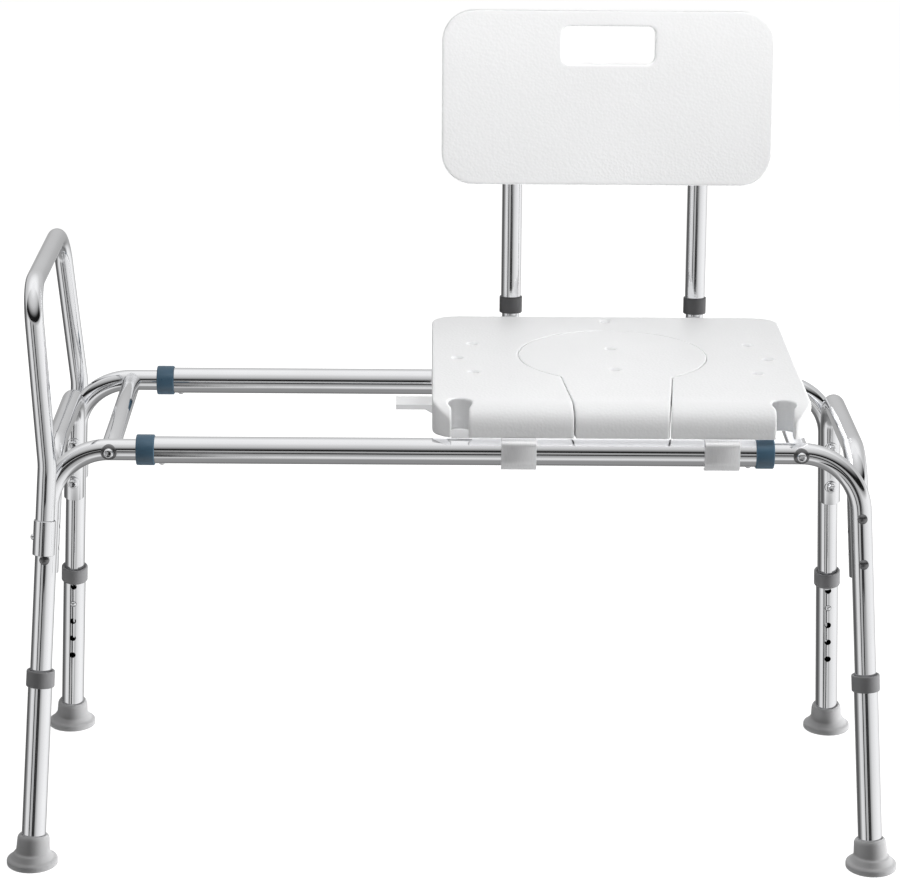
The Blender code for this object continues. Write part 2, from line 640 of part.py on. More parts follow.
def build_seat():
    low = SEAT_BOTTOM_Z
    high = SEAT_TOP_Z
    seat = seat_plate("seat_panel", seat_outline(0.0), low, high, WHITE)
    ease = seat.modifiers.new("soft_edge", 'BEVEL')
    ease.width = 0.006
    ease.segments = 2
    ease.limit_method = 'ANGLE'
    ease.angle_limit = math.radians(60)
    cut(seat, front_round_cutter("seat_front_round"))
    cut(seat, seat_plate("seat_opening", insert_outline(INSERT_GAP), low - 0.01, high + 0.01))
    cut(seat, hollow_of_seat())
    for side, sign in SIDES.items():
        cut(seat, seat_plate("notch_" + side, notch_outline(sign, 0.0), low - 0.01, high + 0.01))
    for i, offset in enumerate(SEAT_DRAINS):
        cut(seat, drain(f"seat_drain_{i + 1}", offset, low - 0.01, high + 0.01))
    for side, sign in SIDES.items():
        vent = Vector((SEAT_X + sign * 0.130, -0.120, low))
        cut(seat, round_cutter("seat_vent_" + side, 0.003, -0.01, 0.01, vent, Vector((0, 0, 1)), steps=8))


def hollow_of_seat():
    """The blow-moulded seat's inner space, around the opening, the notches and the drains."""
    low = SEAT_BOTTOM_Z + SEAT_SKIN
    high = SEAT_TOP_Z - SEAT_SKIN
    skin = SEAT_SKIN
    half = SEAT_WIDTH / 2 - 0.010
    outline = rounded_rectangle(-half, SEAT_FRONT_Y + 0.026, half, SEAT_BACK_Y - 0.010, 0.020, 3)
    hollow = seat_plate("seat_hollow", outline, low, high)
    keep = insert_outline(skin)
    cut(hollow, seat_plate("keep_opening", keep, low - 0.01, high + 0.01))
    for side, sign in SIDES.items():
        cut(hollow, seat_plate("keep_notch_" + side, notch_outline(sign, skin), low - 0.01, high + 0.01))
    for i, offset in enumerate(SEAT_DRAINS):
        cut(hollow, drain(f"keep_drain_{i + 1}", offset, low - 0.01, high + 0.01, grow=skin))
    return hollow


def build_insert():
    low = SEAT_BOTTOM_Z
    high = SEAT_TOP_Z
    insert = seat_plate("seat_insert", insert_outline(0.0), low, high, WHITE)
    cut(insert, front_round_cutter("insert_front_round"))
    hollow = seat_plate("insert_hollow", arc(0.0, INSERT_LOBE_Y, INSERT_LOBE_RADIUS - 0.008, 0, 337.5, 15),
                        low + SEAT_SKIN, high - SEAT_SKIN)
    for i, offset in enumerate(INSERT_DRAINS):
        cut(hollow, drain(f"keep_insert_drain_{i + 1}", offset, low - 0.01, high + 0.01, grow=SEAT_SKIN))
    cut(insert, hollow)
    for i, offset in enumerate(INSERT_DRAINS):
        cut(insert, drain(f"insert_drain_{i + 1}", offset, low - 0.01, high + 0.01))
    vent = Vector((SEAT_X + 0.05, INSERT_LOBE_Y, low))
    cut(insert, round_cutter("insert_vent", 0.003, -0.01, 0.01, vent, Vector((0, 0, 1)), steps=8))


# ---------------------------------------------------------------- slide brackets
def build_slide_bracket(name, x):
    """Folded plate under the seat that hooks around the outer side of both rails."""
    half = BRACKET_THICKNESS / 2
    wall = RAIL_SPREAD + RAIL_RADIUS + BRACKET_RAIL_GAP + half
    plate_z = RAIL_HEIGHT + RAIL_RADIUS + BRACKET_RAIL_GAP + half
    lip_z = RAIL_HEIGHT - RAIL_RADIUS - BRACKET_RAIL_GAP - half
    round_radius = 0.009
    side = [Vector((0, wall - BRACKET_LIP_LENGTH, lip_z)), Vector((0, wall, lip_z)), Vector((0, wall, plate_z))]
    hook = bent_path(side + [Vector((0, 0, plate_z))], [round_radius, 0.003], [4, 2])[:-1]
    path = [Vector((0, -p.y, p.z)) for p in hook] + hook[::-1]
    mesh = bpy.data.meshes.new("slide_bracket_" + name)
    shape = bmesh.new()
    lines = []
    for offset in (-BRACKET_WIDTH / 2, BRACKET_WIDTH / 2):
        lines.append([shape.verts.new((offset, p.y, p.z)) for p in path])
    for i in range(len(path) - 1):
        shape.faces.new((lines[0][i], lines[1][i], lines[1][i + 1], lines[0][i + 1]))
    bmesh.ops.recalc_face_normals(shape, faces=shape.faces)
    shape.to_mesh(mesh)
    shape.free()
    bracket = add_object("slide_bracket_" + name, mesh, Vector((x, 0, 0)), finish=SATIN)
    skin = bracket.modifiers.new("plate", 'SOLIDIFY')
    skin.thickness = BRACKET_THICKNESS
    skin.offset = 0.0
    skin.use_even_offset = True


# ---------------------------------------------------------------- backrest
def back_up():
    return Vector((0, math.sin(BACK_LEAN), math.cos(BACK_LEAN)))


def rearward():
    return Vector((0, math.cos(BACK_LEAN), -math.sin(BACK_LEAN)))


def back_place(x, rise, forward=0.0):
    """A point on the leaning upright: rise is measured from the collar's middle."""
    towards_front = Vector((0, -math.cos(BACK_LEAN), math.sin(BACK_LEAN)))
    return Vector((x, BACK_SUPPORT_Y, BACK_COLLAR_Z)) + back_up() * rise + towards_front * forward


def build_back_support(name, x):
    """L-shaped tube from the slide bracket, up behind the seat and into the back tube."""
    bracket_end = RAIL_SPREAD + RAIL_RADIUS + BRACKET_RAIL_GAP + BRACKET_THICKNESS + FIT_GAP
    start = Vector((x, bracket_end, BACK_SUPPORT_Z))
    corner = back_place(x, (BACK_SUPPORT_Z - BACK_COLLAR_Z) / back_up().z)
    top = back_place(x, BACK_SUPPORT_TOP)
    path = bent_path([start, corner, top], [BACK_SUPPORT_BEND], [5])
    support = pipe("back_support_" + name, path, HANDLE_RADIUS, ROUND_STEPS, ALUMINIUM)
    cut(support, round_cutter("support_bore_" + name, 0.0096, -0.075, 0.01, top, back_up()))
    button_hole(support, "support_hole_" + name, back_place(x, BACK_BUTTON_RISE), rearward(), 0.004, 0.014)


def build_back_tube(name, x):
    """Upper back tube with its collar and spring button. It lifts off the back support."""
    low = 0.0015 - BACK_COLLAR_LENGTH / 2 + 0.001
    tube = turned_tube("back_tube_" + name, FRAME_TUBE_RADIUS, BACK_TUBE_BORE, low, BACK_TUBE_TOP, RING_STEPS,
                       back_place(x, 0.0), back_up(), ALUMINIUM)
    place = back_place(x, BACK_BUTTON_RISE)
    button_hole(tube, "back_tube_hole_" + name, place, rearward(), 0.008, 0.018)
    button("back_button_" + name, place, rearward(), BACK_TUBE_BORE - 0.0001, FRAME_TUBE_RADIUS + BUTTON_PROUD)
    half = BACK_COLLAR_LENGTH / 2
    lip_top = low - FIT_GAP
    profile = [(BACK_COLLAR_RADIUS - 0.0010, half), (BACK_COLLAR_RADIUS, half - 0.001),
               (BACK_COLLAR_RADIUS, -half + 0.001), (BACK_COLLAR_RADIUS - 0.0010, -half),
               (HANDLE_RADIUS + 0.0004, -half), (HANDLE_RADIUS + 0.0004, lip_top),
               (FRAME_TUBE_RADIUS + 0.0004, lip_top), (FRAME_TUBE_RADIUS + 0.0004, half)]
    turned("back_collar_" + name, profile, RING_STEPS, back_place(x, 0.0), back_up(), GREY, closed=True)


def build_backrest():
    """Hollow moulded panel in front of the back tubes, with a hand slot near its top."""
    forward = FRAME_TUBE_RADIUS + FIT_GAP + BACKREST_THICKNESS / 2
    middle = back_place(sum(BACK_X) / 2, BACKREST_BOTTOM + BACKREST_HEIGHT / 2, forward)
    turn = Matrix.Rotation(-BACK_LEAN, 3, 'X') @ Matrix.Rotation(math.radians(90), 3, 'X')
    half_w = BACKREST_WIDTH / 2
    half_h = BACKREST_HEIGHT / 2
    outline = rounded_rectangle(-half_w, -half_h, half_w, half_h, BACKREST_CORNER_RADIUS, 6)
    panel = flat_outline("backrest", outline, BACKREST_THICKNESS, middle, turn, WHITE)
    ease = panel.modifiers.new("soft_edge", 'BEVEL')
    ease.width = 0.005
    ease.segments = 2
    ease.limit_method = 'ANGLE'
    ease.angle_limit = math.radians(60)
    rim = 0.010
    hollow = flat_outline("backrest_hollow",
                          rounded_rectangle(-half_w + rim, -half_h + rim, half_w - rim, half_h - rim, 0.030, 4),
                          BACKREST_THICKNESS - 2 * SEAT_SKIN, middle, turn)
    slot_y = half_h - HAND_SLOT_BELOW_TOP
    for name, target, grow in (("keep_hand_slot", hollow, SEAT_SKIN), ("hand_slot", panel, 0.0)):
        half_slot_w = HAND_SLOT_WIDTH / 2 + grow
        half_slot_h = HAND_SLOT_HEIGHT / 2 + grow
        slot = rounded_rectangle(-half_slot_w, slot_y - half_slot_h, half_slot_w, slot_y + half_slot_h, 0.012, 3)
        cut(target, flat_outline(name, slot, BACKREST_THICKNESS + 0.02, middle, turn))
    cut(panel, hollow)
    vent = middle + turn @ Vector((0.0, -half_h + 0.030, -BACKREST_THICKNESS / 2))
    cut(panel, round_cutter("backrest_vent", 0.003, -0.006, 0.006, vent, turn @ Vector((0, 0, 1)), steps=8))


# ---------------------------------------------------------------- seat lock
def build_lock():
    """Finger lever under the seat's left edge, its pivot and housing, and the plunger it draws back."""
    housing = block("lock_housing", HOUSING_MIN, HOUSING_MAX, WHITE)
    half = LEVER_WIDTH / 2
    pivot = Vector((LEVER_PIVOT_X, LEVER_Y, LEVER_PIVOT_Z))
    cut(housing, block("lever_space", Vector((HOUSING_MIN.x - 0.01, LEVER_Y - half - 0.0005, HOUSING_MIN.z - 0.01)),
                       Vector((LEVER_PIVOT_X + 0.013, LEVER_Y + half + 0.0005, HOUSING_MAX.z + 0.01))))
    across = Vector((0, 1, 0))
    cut(housing, round_cutter("pivot_hole", 0.0029, -half - 0.02, half + 0.02, pivot, across))
    plunger_axis = Vector((PLUNGER_X, 0, RAIL_HEIGHT))
    plunger_back = -0.040
    cut(housing, round_cutter("plunger_hole", PLUNGER_RADIUS + 0.0004, HOUSING_MIN.y - 0.01,
                              plunger_back + 0.008, plunger_axis, across, steps=16))
    nose = -(RAIL_SPREAD - RAIL_RADIUS) + FIT_GAP
    turned("lock_plunger", [(0.0, -nose), (0.0030, -nose - 0.0008), (PLUNGER_RADIUS, -nose - 0.004),
                            (PLUNGER_RADIUS, -plunger_back), (0.0, -plunger_back)], 16, plunger_axis,
           Vector((0, -1, 0)), STEEL)
    turned("lever_pivot", [(0.0, half + 0.009), (0.0024, half + 0.009), (0.0024, -half - 0.009),
                           (0.0, -half - 0.009)], BUTTON_STEPS, pivot, across, STEEL)
    build_lever(pivot, across)


def build_lever(pivot, across):
    """Flat finger paddle with a tapering rib below, in one moulding around the pivot."""
    tip = LEVER_TIP_X - LEVER_PIVOT_X
    top = 0.005
    under = top - LEVER_THICKNESS
    rib_deep = -0.015
    side = [(tip, top), (tip, under), (tip + 0.030, under - 0.001), (tip + 0.052, rib_deep),
            (-0.004, rib_deep + 0.004)] + arc(0.0, 0.0, 0.0075, 250, 405, 6)
    along_y = Matrix(((1, 0, 0), (0, 0, -1), (0, 1, 0)))
    lever = flat_outline("lock_lever", side, LEVER_WIDTH - 0.0006, pivot, along_y, WHITE)
    cut(lever, round_cutter("lever_bore", 0.0028, -LEVER_WIDTH, LEVER_WIDTH, pivot, across))
    for word, sign in (("front", -1), ("rear", 1)):
        inner = sign * 0.0035
        outer = sign * (LEVER_WIDTH / 2 + 0.002)
        low = Vector((tip - 0.002 + pivot.x, pivot.y + min(inner, outer), pivot.z + rib_deep - 0.01))
        high = Vector((pivot.x - 0.012, pivot.y + max(inner, outer), pivot.z + under))
        cut(lever, block("lever_side_" + word, low, high))


# ---------------------------------------------------------------- assembly
def build_bench():
    build_rails()
    for name, corner in CORNERS.items():
        build_rail_collar(name, corner)
        build_rail_button(name, corner)
        build_leg_frame(name, corner)
        build_crossbar_bolt(name, corner)
        build_lower_leg(name, corner)
    for name, side_x in SIDES.items():
        build_crossbar(name, side_x)
        build_bow(name, side_x)
    build_handle()
    build_seat()
    build_insert()
    for name, bracket_x, back_x in zip(SIDES, BRACKET_X, BACK_X):
        build_slide_bracket(name, bracket_x)
        build_back_support(name, back_x)
        build_back_tube(name, back_x)
    build_backrest()
    build_lock()


build_bench()
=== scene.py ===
"""The looks of the bath transfer bench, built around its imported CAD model.

Metres, +Z up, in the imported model's frame: X runs along the rails, -Y is the front.
"""
import json
import math

import bmesh
import bpy
from mathutils import Matrix, Vector

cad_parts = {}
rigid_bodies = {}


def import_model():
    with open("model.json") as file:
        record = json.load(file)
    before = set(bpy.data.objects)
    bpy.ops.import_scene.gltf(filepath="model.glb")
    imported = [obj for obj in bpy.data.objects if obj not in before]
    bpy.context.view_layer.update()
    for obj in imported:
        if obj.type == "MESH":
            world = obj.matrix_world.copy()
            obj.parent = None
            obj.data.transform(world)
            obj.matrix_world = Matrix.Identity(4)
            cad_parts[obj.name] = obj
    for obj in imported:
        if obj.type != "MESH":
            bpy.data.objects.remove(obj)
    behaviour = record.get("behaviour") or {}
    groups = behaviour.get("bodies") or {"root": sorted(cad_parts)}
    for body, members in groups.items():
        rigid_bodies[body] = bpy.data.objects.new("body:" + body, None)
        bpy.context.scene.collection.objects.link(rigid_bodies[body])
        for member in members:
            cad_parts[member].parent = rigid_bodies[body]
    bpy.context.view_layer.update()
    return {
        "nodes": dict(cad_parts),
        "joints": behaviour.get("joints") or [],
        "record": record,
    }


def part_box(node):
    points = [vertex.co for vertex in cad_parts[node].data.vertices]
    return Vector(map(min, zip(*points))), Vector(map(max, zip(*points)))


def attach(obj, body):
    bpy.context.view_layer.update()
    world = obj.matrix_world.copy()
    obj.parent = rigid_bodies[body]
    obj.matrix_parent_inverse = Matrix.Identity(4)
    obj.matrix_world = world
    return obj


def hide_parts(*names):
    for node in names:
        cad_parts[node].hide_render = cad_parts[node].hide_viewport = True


for item in list(bpy.data.objects):
    bpy.data.objects.remove(item, do_unlink=True)

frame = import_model()

# ---------------------------------------------------------------- sizes that the frame gives
MOUNTS = {mount["name"]: mount for mount in frame["record"]["mounts"]}
JOINTS = {joint["name"]: joint for joint in frame["joints"]}
CORNERS = {"front_left": (-1, -1), "front_right": (1, -1), "rear_left": (-1, 1), "rear_right": (1, 1)}
SIDES = {"left": -1, "right": 1}


def box_middle(node):
    low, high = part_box(node)
    return (low + high) / 2


def box_size(node):
    low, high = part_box(node)
    return high - low


MIDDLE_Y = (box_middle("front_rail").y + box_middle("rear_rail").y) / 2
RAIL_Z = box_middle("front_rail").z
RAIL_SPREAD = box_middle("rear_rail").y - MIDDLE_Y
RAIL_RADIUS = box_size("front_rail").z / 2
RAIL_HALF = box_size("front_rail").x / 2
SEAT_LOW, SEAT_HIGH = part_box("seat_panel")
BACK_X = [box_middle("back_tube_" + side).x for side in SIDES]
BACK_UP = Vector(JOINTS["backrest_lift"]["axis"])

# ---------------------------------------------------------------- sizes as in the CAD model
FRAME_RADIUS = 0.0127
TUBE_WALL = 0.0015
FRAME_BEND = 0.072
FRAME_IN_RAIL = 0.060
LEG_RADIUS = 0.0143
THIN_WALL = 0.0011
RAIL_WALL = 0.0018
SOCKET_WALL = 0.0013
LEG_TOP_Z = 0.2335
LEG_END_Z = 0.011
UPPER_LEG_END_Z = 0.140
LEG_BUTTON_Z = 0.1865
LEG_COLLAR_Z = 0.2255
LEG_SLOT_ENDS = (-0.0420, 0.0304)       # down the leg from its button
LEG_SLOT_WIDTH = 0.0096
LEG_SLOT_DEPTH = 0.0040
HOLE_PITCH = 0.0254
HOLE_RADIUS = 0.0042
PIN_RADIUS = 0.0037
HANDLE_RADIUS = 0.0111
SOCKET_RADIUS = 0.0129
SOCKET_HALF = 0.0205
CROSSBAR_X = 0.4055
CROSSBAR_RADIUS = 0.0111
BOW_END_Z = 0.344
BOW_TOP_Z = 0.489
BOW_BEND = 0.048
HANDLE_KINK_Z = 0.484
HANDLE_TOP = Vector((0.4915, 0.1443, 0.692))
HANDLE_BEND = 0.050
SOCKET_Z = {-1: 0.3985, 1: 0.3725}
FIT_GAP = 0.0003
TUBE_SIDES = 64

# ---------------------------------------------------------------- colours (linear)
CHROME = (0.89, 0.895, 0.91)
STEEL = (0.62, 0.625, 0.64)
DARK_STEEL = (0.23, 0.23, 0.235)
SATIN = (0.93, 0.93, 0.94)
WHITE = (0.90, 0.903, 0.908)
# The backrest's white is a lighter copy of the seat's white: painted light that brightens the backrest.
LIT_BACKREST_WHITE = (0.955, 0.957, 0.96)
BLUE = (0.062, 0.125, 0.185)
COLLAR_GREY = (0.205, 0.205, 0.21)
# The back collars' grey is a darker copy of the collar grey: painted shade on the back collars.
SHADED_BACK_COLLAR_GREY = (0.060, 0.060, 0.062)
FOOT_GREY = (0.42, 0.42, 0.425)


# ---------------------------------------------------------------- materials
class Shader:
    """A Principled material and short ways to add nodes to it."""

    def __init__(self, name):
        self.material = bpy.data.materials.new(name)
        self.material.use_nodes = True
        self.tree = self.material.node_tree
        self.main = self.tree.nodes["Principled BSDF"]
        self.coords = self.node("ShaderNodeTexCoord").outputs["Object"]

    def node(self, kind, **values):
        made = self.tree.nodes.new(kind)
        for key, value in values.items():
            setattr(made, key, value)
        return made

    def link(self, source, target):
        self.tree.links.new(source, target)

    def stretched(self, scale):
        """Object coordinates with their own scale on each axis."""
        mapping = self.node("ShaderNodeMapping")
        mapping.inputs["Scale"].default_value = scale
        self.link(self.coords, mapping.inputs["Vector"])
        return mapping.outputs["Vector"]

    def noise(self, scale, detail=3.0, vector=None):
        made = self.node("ShaderNodeTexNoise")
        made.inputs["Scale"].default_value = scale
        made.inputs["Detail"].default_value = detail
        self.link(vector or self.coords, made.inputs["Vector"])
        return made.outputs["Fac"]

    def cells(self, scale, randomness=1.0):
        made = self.node("ShaderNodeTexVoronoi", feature="SMOOTH_F1")
        made.inputs["Scale"].default_value = scale
        made.inputs["Smoothness"].default_value = 0.6
        made.inputs["Randomness"].default_value = randomness
        self.link(self.coords, made.inputs["Vector"])
        return made.outputs["Distance"]

    def spread(self, value, low, high, to_low, to_high):
        made = self.node("ShaderNodeMapRange")
        for key, number in (("From Min", low), ("From Max", high), ("To Min", to_low), ("To Max", to_high)):
            made.inputs[key].default_value = number
        self.link(value, made.inputs["Value"])
        return made.outputs["Result"]

    def tint(self, value, dark, light, low=0.3, high=0.7):
        """A colour between two, following a value."""
        ramp = self.node("ShaderNodeValToRGB")
        ramp.color_ramp.elements[0].position = low
        ramp.color_ramp.elements[0].color = (*dark, 1.0)
        ramp.color_ramp.elements[1].position = high
        ramp.color_ramp.elements[1].color = (*light, 1.0)
        self.link(value, ramp.inputs["Fac"])
        return ramp.outputs["Color"]

    def bump(self, value, distance, strength=1.0, below=None):
        made = self.node("ShaderNodeBump")
        made.inputs["Distance"].default_value = distance
        made.inputs["Strength"].default_value = strength
        self.link(value, made.inputs["Height"])
        if below is not None:
            self.link(below, made.inputs["Normal"])
        return made.outputs["Normal"]

    def worn_edges(self, width):
        """How far a point is from the nearest edge, as a value from 0 on flats to 1 on edges."""
        bevel = self.node("ShaderNodeBevel", samples=4)
        bevel.inputs["Radius"].default_value = width
        geometry = self.node("ShaderNodeNewGeometry")
        dot = self.node("ShaderNodeVectorMath", operation="DOT_PRODUCT")
        self.link(bevel.outputs["Normal"], dot.inputs[0])
        self.link(geometry.outputs["Normal"], dot.inputs[1])
        return self.spread(dot.outputs["Value"], 0.80, 0.995, 1.0, 0.0)

    def set(self, **values):
        for key, value in values.items():
            self.main.inputs[key.replace("_", " ")].default_value = value


def scaled(colour, factor):
    return tuple(min(1.0, c * factor) for c in colour)


def polished_metal(name, colour, low=0.045, high=0.10):
    """Bright drawn tube: faint clouding, fine scratches and a trace of handling marks."""
    made = Shader(name)
    made.set(Metallic=1.0)
    cloud = made.noise(9.0, 4.0)
    marks = made.noise(70.0, 6.0)
    made.link(made.tint(cloud, scaled(colour, 0.95), colour), made.main.inputs["Base Color"])
    made.link(made.spread(marks, 0.35, 0.75, low, high), made.main.inputs["Roughness"])
    fine = made.bump(made.noise(900.0, 2.0), 0.00001, 0.35)
    made.link(made.bump(made.noise(14.0, 2.0), 0.0003, 0.10, below=fine), made.main.inputs["Normal"])
    return made.material


def satin_metal(name, colour):
    """Folded plate with fine vertical brushing."""
    made = Shader(name)
    made.set(Metallic=0.45)
    brushing = made.noise(1.0, 5.0, made.stretched((2600.0, 120.0, 120.0)))
    made.link(made.tint(brushing, scaled(colour, 0.88), colour), made.main.inputs["Base Color"])
    made.link(made.spread(brushing, 0.3, 0.7, 0.28, 0.40), made.main.inputs["Roughness"])
    made.link(made.bump(brushing, 0.00005, 0.30), made.main.inputs["Normal"])
    return made.material


def moulded_plastic(name, colour, grain, depth, roughness, wear=1.25):
    """Moulded plastic or rubber: a fine grain, slight colour drift and paler worn edges."""
    made = Shader(name)
    drift = made.tint(made.noise(12.0, 3.0), scaled(colour, 0.93), scaled(colour, 1.04))
    edge = made.worn_edges(0.0012)
    mix = made.node("ShaderNodeMix", data_type="RGBA")
    mix.inputs["B"].default_value = (*scaled(colour, wear), 1.0)
    made.link(drift, mix.inputs["A"])
    made.link(made.spread(edge, 0.0, 1.0, 0.0, 0.6), mix.inputs["Factor"])
    made.link(mix.outputs["Result"], made.main.inputs["Base Color"])
    made.link(made.spread(made.noise(150.0, 4.0), 0.3, 0.7, roughness - 0.07, roughness + 0.07),
              made.main.inputs["Roughness"])
    made.link(made.bump(made.noise(grain, 3.0), depth, 0.5), made.main.inputs["Normal"])
    return made.material


def pebbled_plastic(name, colour):
    """White blow-moulded plastic with a pebbled skin over a faint unevenness, and painted light that makes its
    underside glow.
    """
    made = Shader(name)
    drift = made.tint(made.noise(6.0, 3.0), scaled(colour, 0.975), scaled(colour, 1.0))
    made.link(drift, made.main.inputs["Base Color"])
    made.link(made.spread(made.noise(60.0, 4.0), 0.3, 0.7, 0.38, 0.52), made.main.inputs["Roughness"])
    made.set(Specular_IOR_Level=0.35)
    wavy = made.bump(made.noise(9.0, 2.0), 0.004, 0.16)
    pebble = made.bump(made.cells(300.0), 0.0006, 0.30, below=wavy)
    made.link(made.bump(made.noise(1400.0, 2.0), 0.00015, 0.25, below=pebble), made.main.inputs["Normal"])
    # Surfaces facing down glow a little: painted light that brightens the shaded underside.
    geometry = made.node("ShaderNodeNewGeometry")
    split = made.node("ShaderNodeSeparateXYZ")
    made.link(geometry.outputs["Normal"], split.inputs[0])
    made.link(made.spread(split.outputs["Z"], -0.95, -0.60, 0.42, 0.0), made.main.inputs["Emission Strength"])
    return made.material


TUBE_METAL = polished_metal("polished_aluminium", CHROME)
BOLT_METAL = polished_metal("bolt_steel", STEEL, 0.12, 0.22)
DARK_METAL = polished_metal("dark_steel", DARK_STEEL, 0.25, 0.36)
BRIGHT_METAL = polished_metal("bright_steel", CHROME, 0.08, 0.14)
PLATE_METAL = satin_metal("satin_aluminium", SATIN)
WHITE_PLASTIC = pebbled_plastic("white_plastic", WHITE)
# A lighter copy of the seat's white plastic: painted light on the backrest.
LIT_BACKREST_PLASTIC = pebbled_plastic("lit_backrest_plastic", LIT_BACKREST_WHITE)
SMOOTH_WHITE = moulded_plastic("smooth_white_plastic", WHITE, 900.0, 0.00008, 0.42, wear=1.02)
BLUE_PLASTIC = moulded_plastic("blue_plastic", BLUE, 700.0, 0.00010, 0.34, wear=2.2)
LEG_GREY = moulded_plastic("grey_plastic", COLLAR_GREY, 700.0, 0.00012, 0.48, wear=1.35)
# A darker copy of the collar grey plastic: painted shade on the back collars.
SHADED_BACK_GREY = moulded_plastic("shaded_grey_plastic", SHADED_BACK_COLLAR_GREY, 700.0, 0.00012, 0.45, wear=1.4)
FOOT_RUBBER = moulded_plastic("grey_rubber", FOOT_GREY, 420.0, 0.00025, 0.62, wear=1.25)


# ---------------------------------------------------------------- mesh helpers
def make_object(name, shape, material, sharp=35.0):
    """A mesh object from a bmesh, smooth but for edges sharper than an angle in degrees."""
    mesh = bpy.data.meshes.new(name)
    bmesh.ops.recalc_face_normals(shape, faces=shape.faces)
    shape.to_mesh(mesh)
    shape.free()
    mesh.shade_smooth()
    mesh.set_sharp_from_angle(angle=math.radians(sharp))
    obj = bpy.data.objects.new(name, mesh)
    bpy.context.scene.collection.objects.link(obj)
    if material is not None:
        mesh.materials.append(material)
    return obj


def bake_modifiers(obj, sharp=35.0):
    """Replace an object's mesh by what its modifiers make of it."""
    bpy.context.view_layer.update()
    evaluated = obj.evaluated_get(bpy.context.evaluated_depsgraph_get())
    mesh = bpy.data.meshes.new_from_object(evaluated)
    obj.modifiers.clear()
    obj.data = mesh
    mesh.shade_smooth()
    mesh.set_sharp_from_angle(angle=math.radians(sharp))
    return obj


def place(obj, body, slot, *stands_for):
    """Attach a piece to the body it rides on and hide the CAD nodes it stands for. The slot, which names its finish,
    is not used.
    """
    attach(obj, body)
    if stands_for:
        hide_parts(*stands_for)
    return obj


def across_axis(axis):
    guide = Vector((0, 0, 1)) if abs(axis.z) < 0.9 else Vector((1, 0, 0))
    return (guide - axis * guide.dot(axis)).normalized()


def ring(shape, centre, across, up, reach, sides):
    """One ring of corners. Reach is a radius, or a function of the angle."""
    if reach == 0:
        return [shape.verts.new(centre)]
    corners = []
    for i in range(sides):
        angle = 2 * math.pi * i / sides
        radius = reach(angle) if callable(reach) else reach
        corners.append(shape.verts.new(centre + (across * math.cos(angle) + up * math.sin(angle)) * radius))
    return corners


def join_rings(shape, first, second):
    count = max(len(first), len(second))
    for i in range(count):
        j = (i + 1) % count
        if len(first) == 1:
            shape.faces.new((first[0], second[i], second[j]))
        elif len(second) == 1:
            shape.faces.new((first[i], second[0], first[j]))
        else:
            shape.faces.new((first[i], second[i], second[j], first[j]))


def skin(name, stations, material, sides=TUBE_SIDES, loop=False, sharp=35.0):
    """A closed body through stations of (centre, across, up, reach)."""
    shape = bmesh.new()
    rings = [ring(shape, *station, sides) for station in stations]
    for first, second in zip(rings, rings[1:]):
        join_rings(shape, first, second)
    if loop:
        join_rings(shape, rings[-1], rings[0])
    return make_object(name, shape, material, sharp)


def turned(name, profile, origin, axis, material, sides=48, loop=False, sharp=35.0):
    """A profile of (reach, height) pairs turned around an axis."""
    axis = axis.normalized()
    across = across_axis(axis)
    up = axis.cross(across)
    stations = [(origin + axis * height, across, up, reach) for reach, height in profile]
    return skin(name, stations, material, sides, loop, sharp)


def rounded(low_reach, high_reach, low, high, radius, steps=4):
    """The outer side of a ring's section: from low to high, with both corners rounded."""
    points = []
    for i in range(steps + 1):
        angle = math.pi / 2 * i / steps
        points.append((low_reach - radius * (1 - math.sin(angle)), low + radius * (1 - math.cos(angle))))
    for i in range(steps + 1):
        angle = math.pi / 2 * i / steps
        points.append((high_reach - radius * (1 - math.cos(angle)), high - radius * (1 - math.sin(angle))))
    return points


def carried_frames(points):
    """Each point with two directions across the path, carried along it without twist."""
    frames = []
    across = None
    for i, point in enumerate(points):
        before = points[max(i - 1, 0)]
        after = points[min(i + 1, len(points) - 1)]
        tangent = (after - before).normalized()
        if across is None:
            across = across_axis(tangent)
        across = (across - tangent * across.dot(tangent)).normalized()
        frames.append((point, across, tangent.cross(across)))
    return frames


def tube(name, points, radius, wall, material, sides=TUBE_SIDES, bore=0.04, rim=0.0004):
    """A bent tube, open at both ends for the depth of its bore, with eased rims."""
    frames = carried_frames(points)
    stations = []
    for (point, across, up), inward, order in ((frames[0], points[1] - points[0], 1),
                                               (frames[-1], points[-2] - points[-1], -1)):
        inward = inward.normalized()
        end = [(bore, 0), (bore, radius - wall), (rim, radius - wall), (0.0, radius - wall + rim),
               (0.0, radius - rim), (rim * 0.3, radius - rim * 0.3), (rim, radius)]
        rings = [(point + inward * depth, across, up, reach) for depth, reach in end]
        if order > 0:
            stations = rings + [(*frame_at, radius) for frame_at in frames[1:-1]]
        else:
            stations += rings[::-1]
    return skin(name, stations, material, sides)


def hollow_tube(name, first, last, radius, wall, material, sides=TUBE_SIDES, rim=0.0003):
    """A straight tube, open right through."""
    axis = (last - first).normalized()
    length = (last - first).length
    profile = [(radius - wall, rim), (radius - wall + rim, 0.0), (radius - rim, 0.0), (radius, rim),
               (radius, length - rim), (radius - rim, length), (radius - wall + rim, length),
               (radius - wall, length - rim)]
    return turned(name, profile, first, axis, material, sides, loop=True)


def bend(start, corner, end, radius, steps):
    """Points of the arc that rounds a corner."""
    to_start = (start - corner).normalized()
    to_end = (end - corner).normalized()
    half = to_start.angle(to_end) / 2
    reach = radius / math.tan(half)
    centre = corner + (to_start + to_end).normalized() * (radius / math.sin(half))
    first = corner + to_start * reach - centre
    last = corner + to_end * reach - centre
    sweep = first.angle(last)
    points = []
    for i in range(steps + 1):
        t = i / steps
        points.append(centre + first * (math.sin((1 - t) * sweep) / math.sin(sweep))
                      + last * (math.sin(t * sweep) / math.sin(sweep)))
    return points


def bent_path(corners, radii, steps=20):
    points = [corners[0]]
    for i in range(1, len(corners) - 1):
        points += bend(corners[i - 1], corners[i], corners[i + 1], radii[i - 1], steps)
    return points + [corners[-1]]


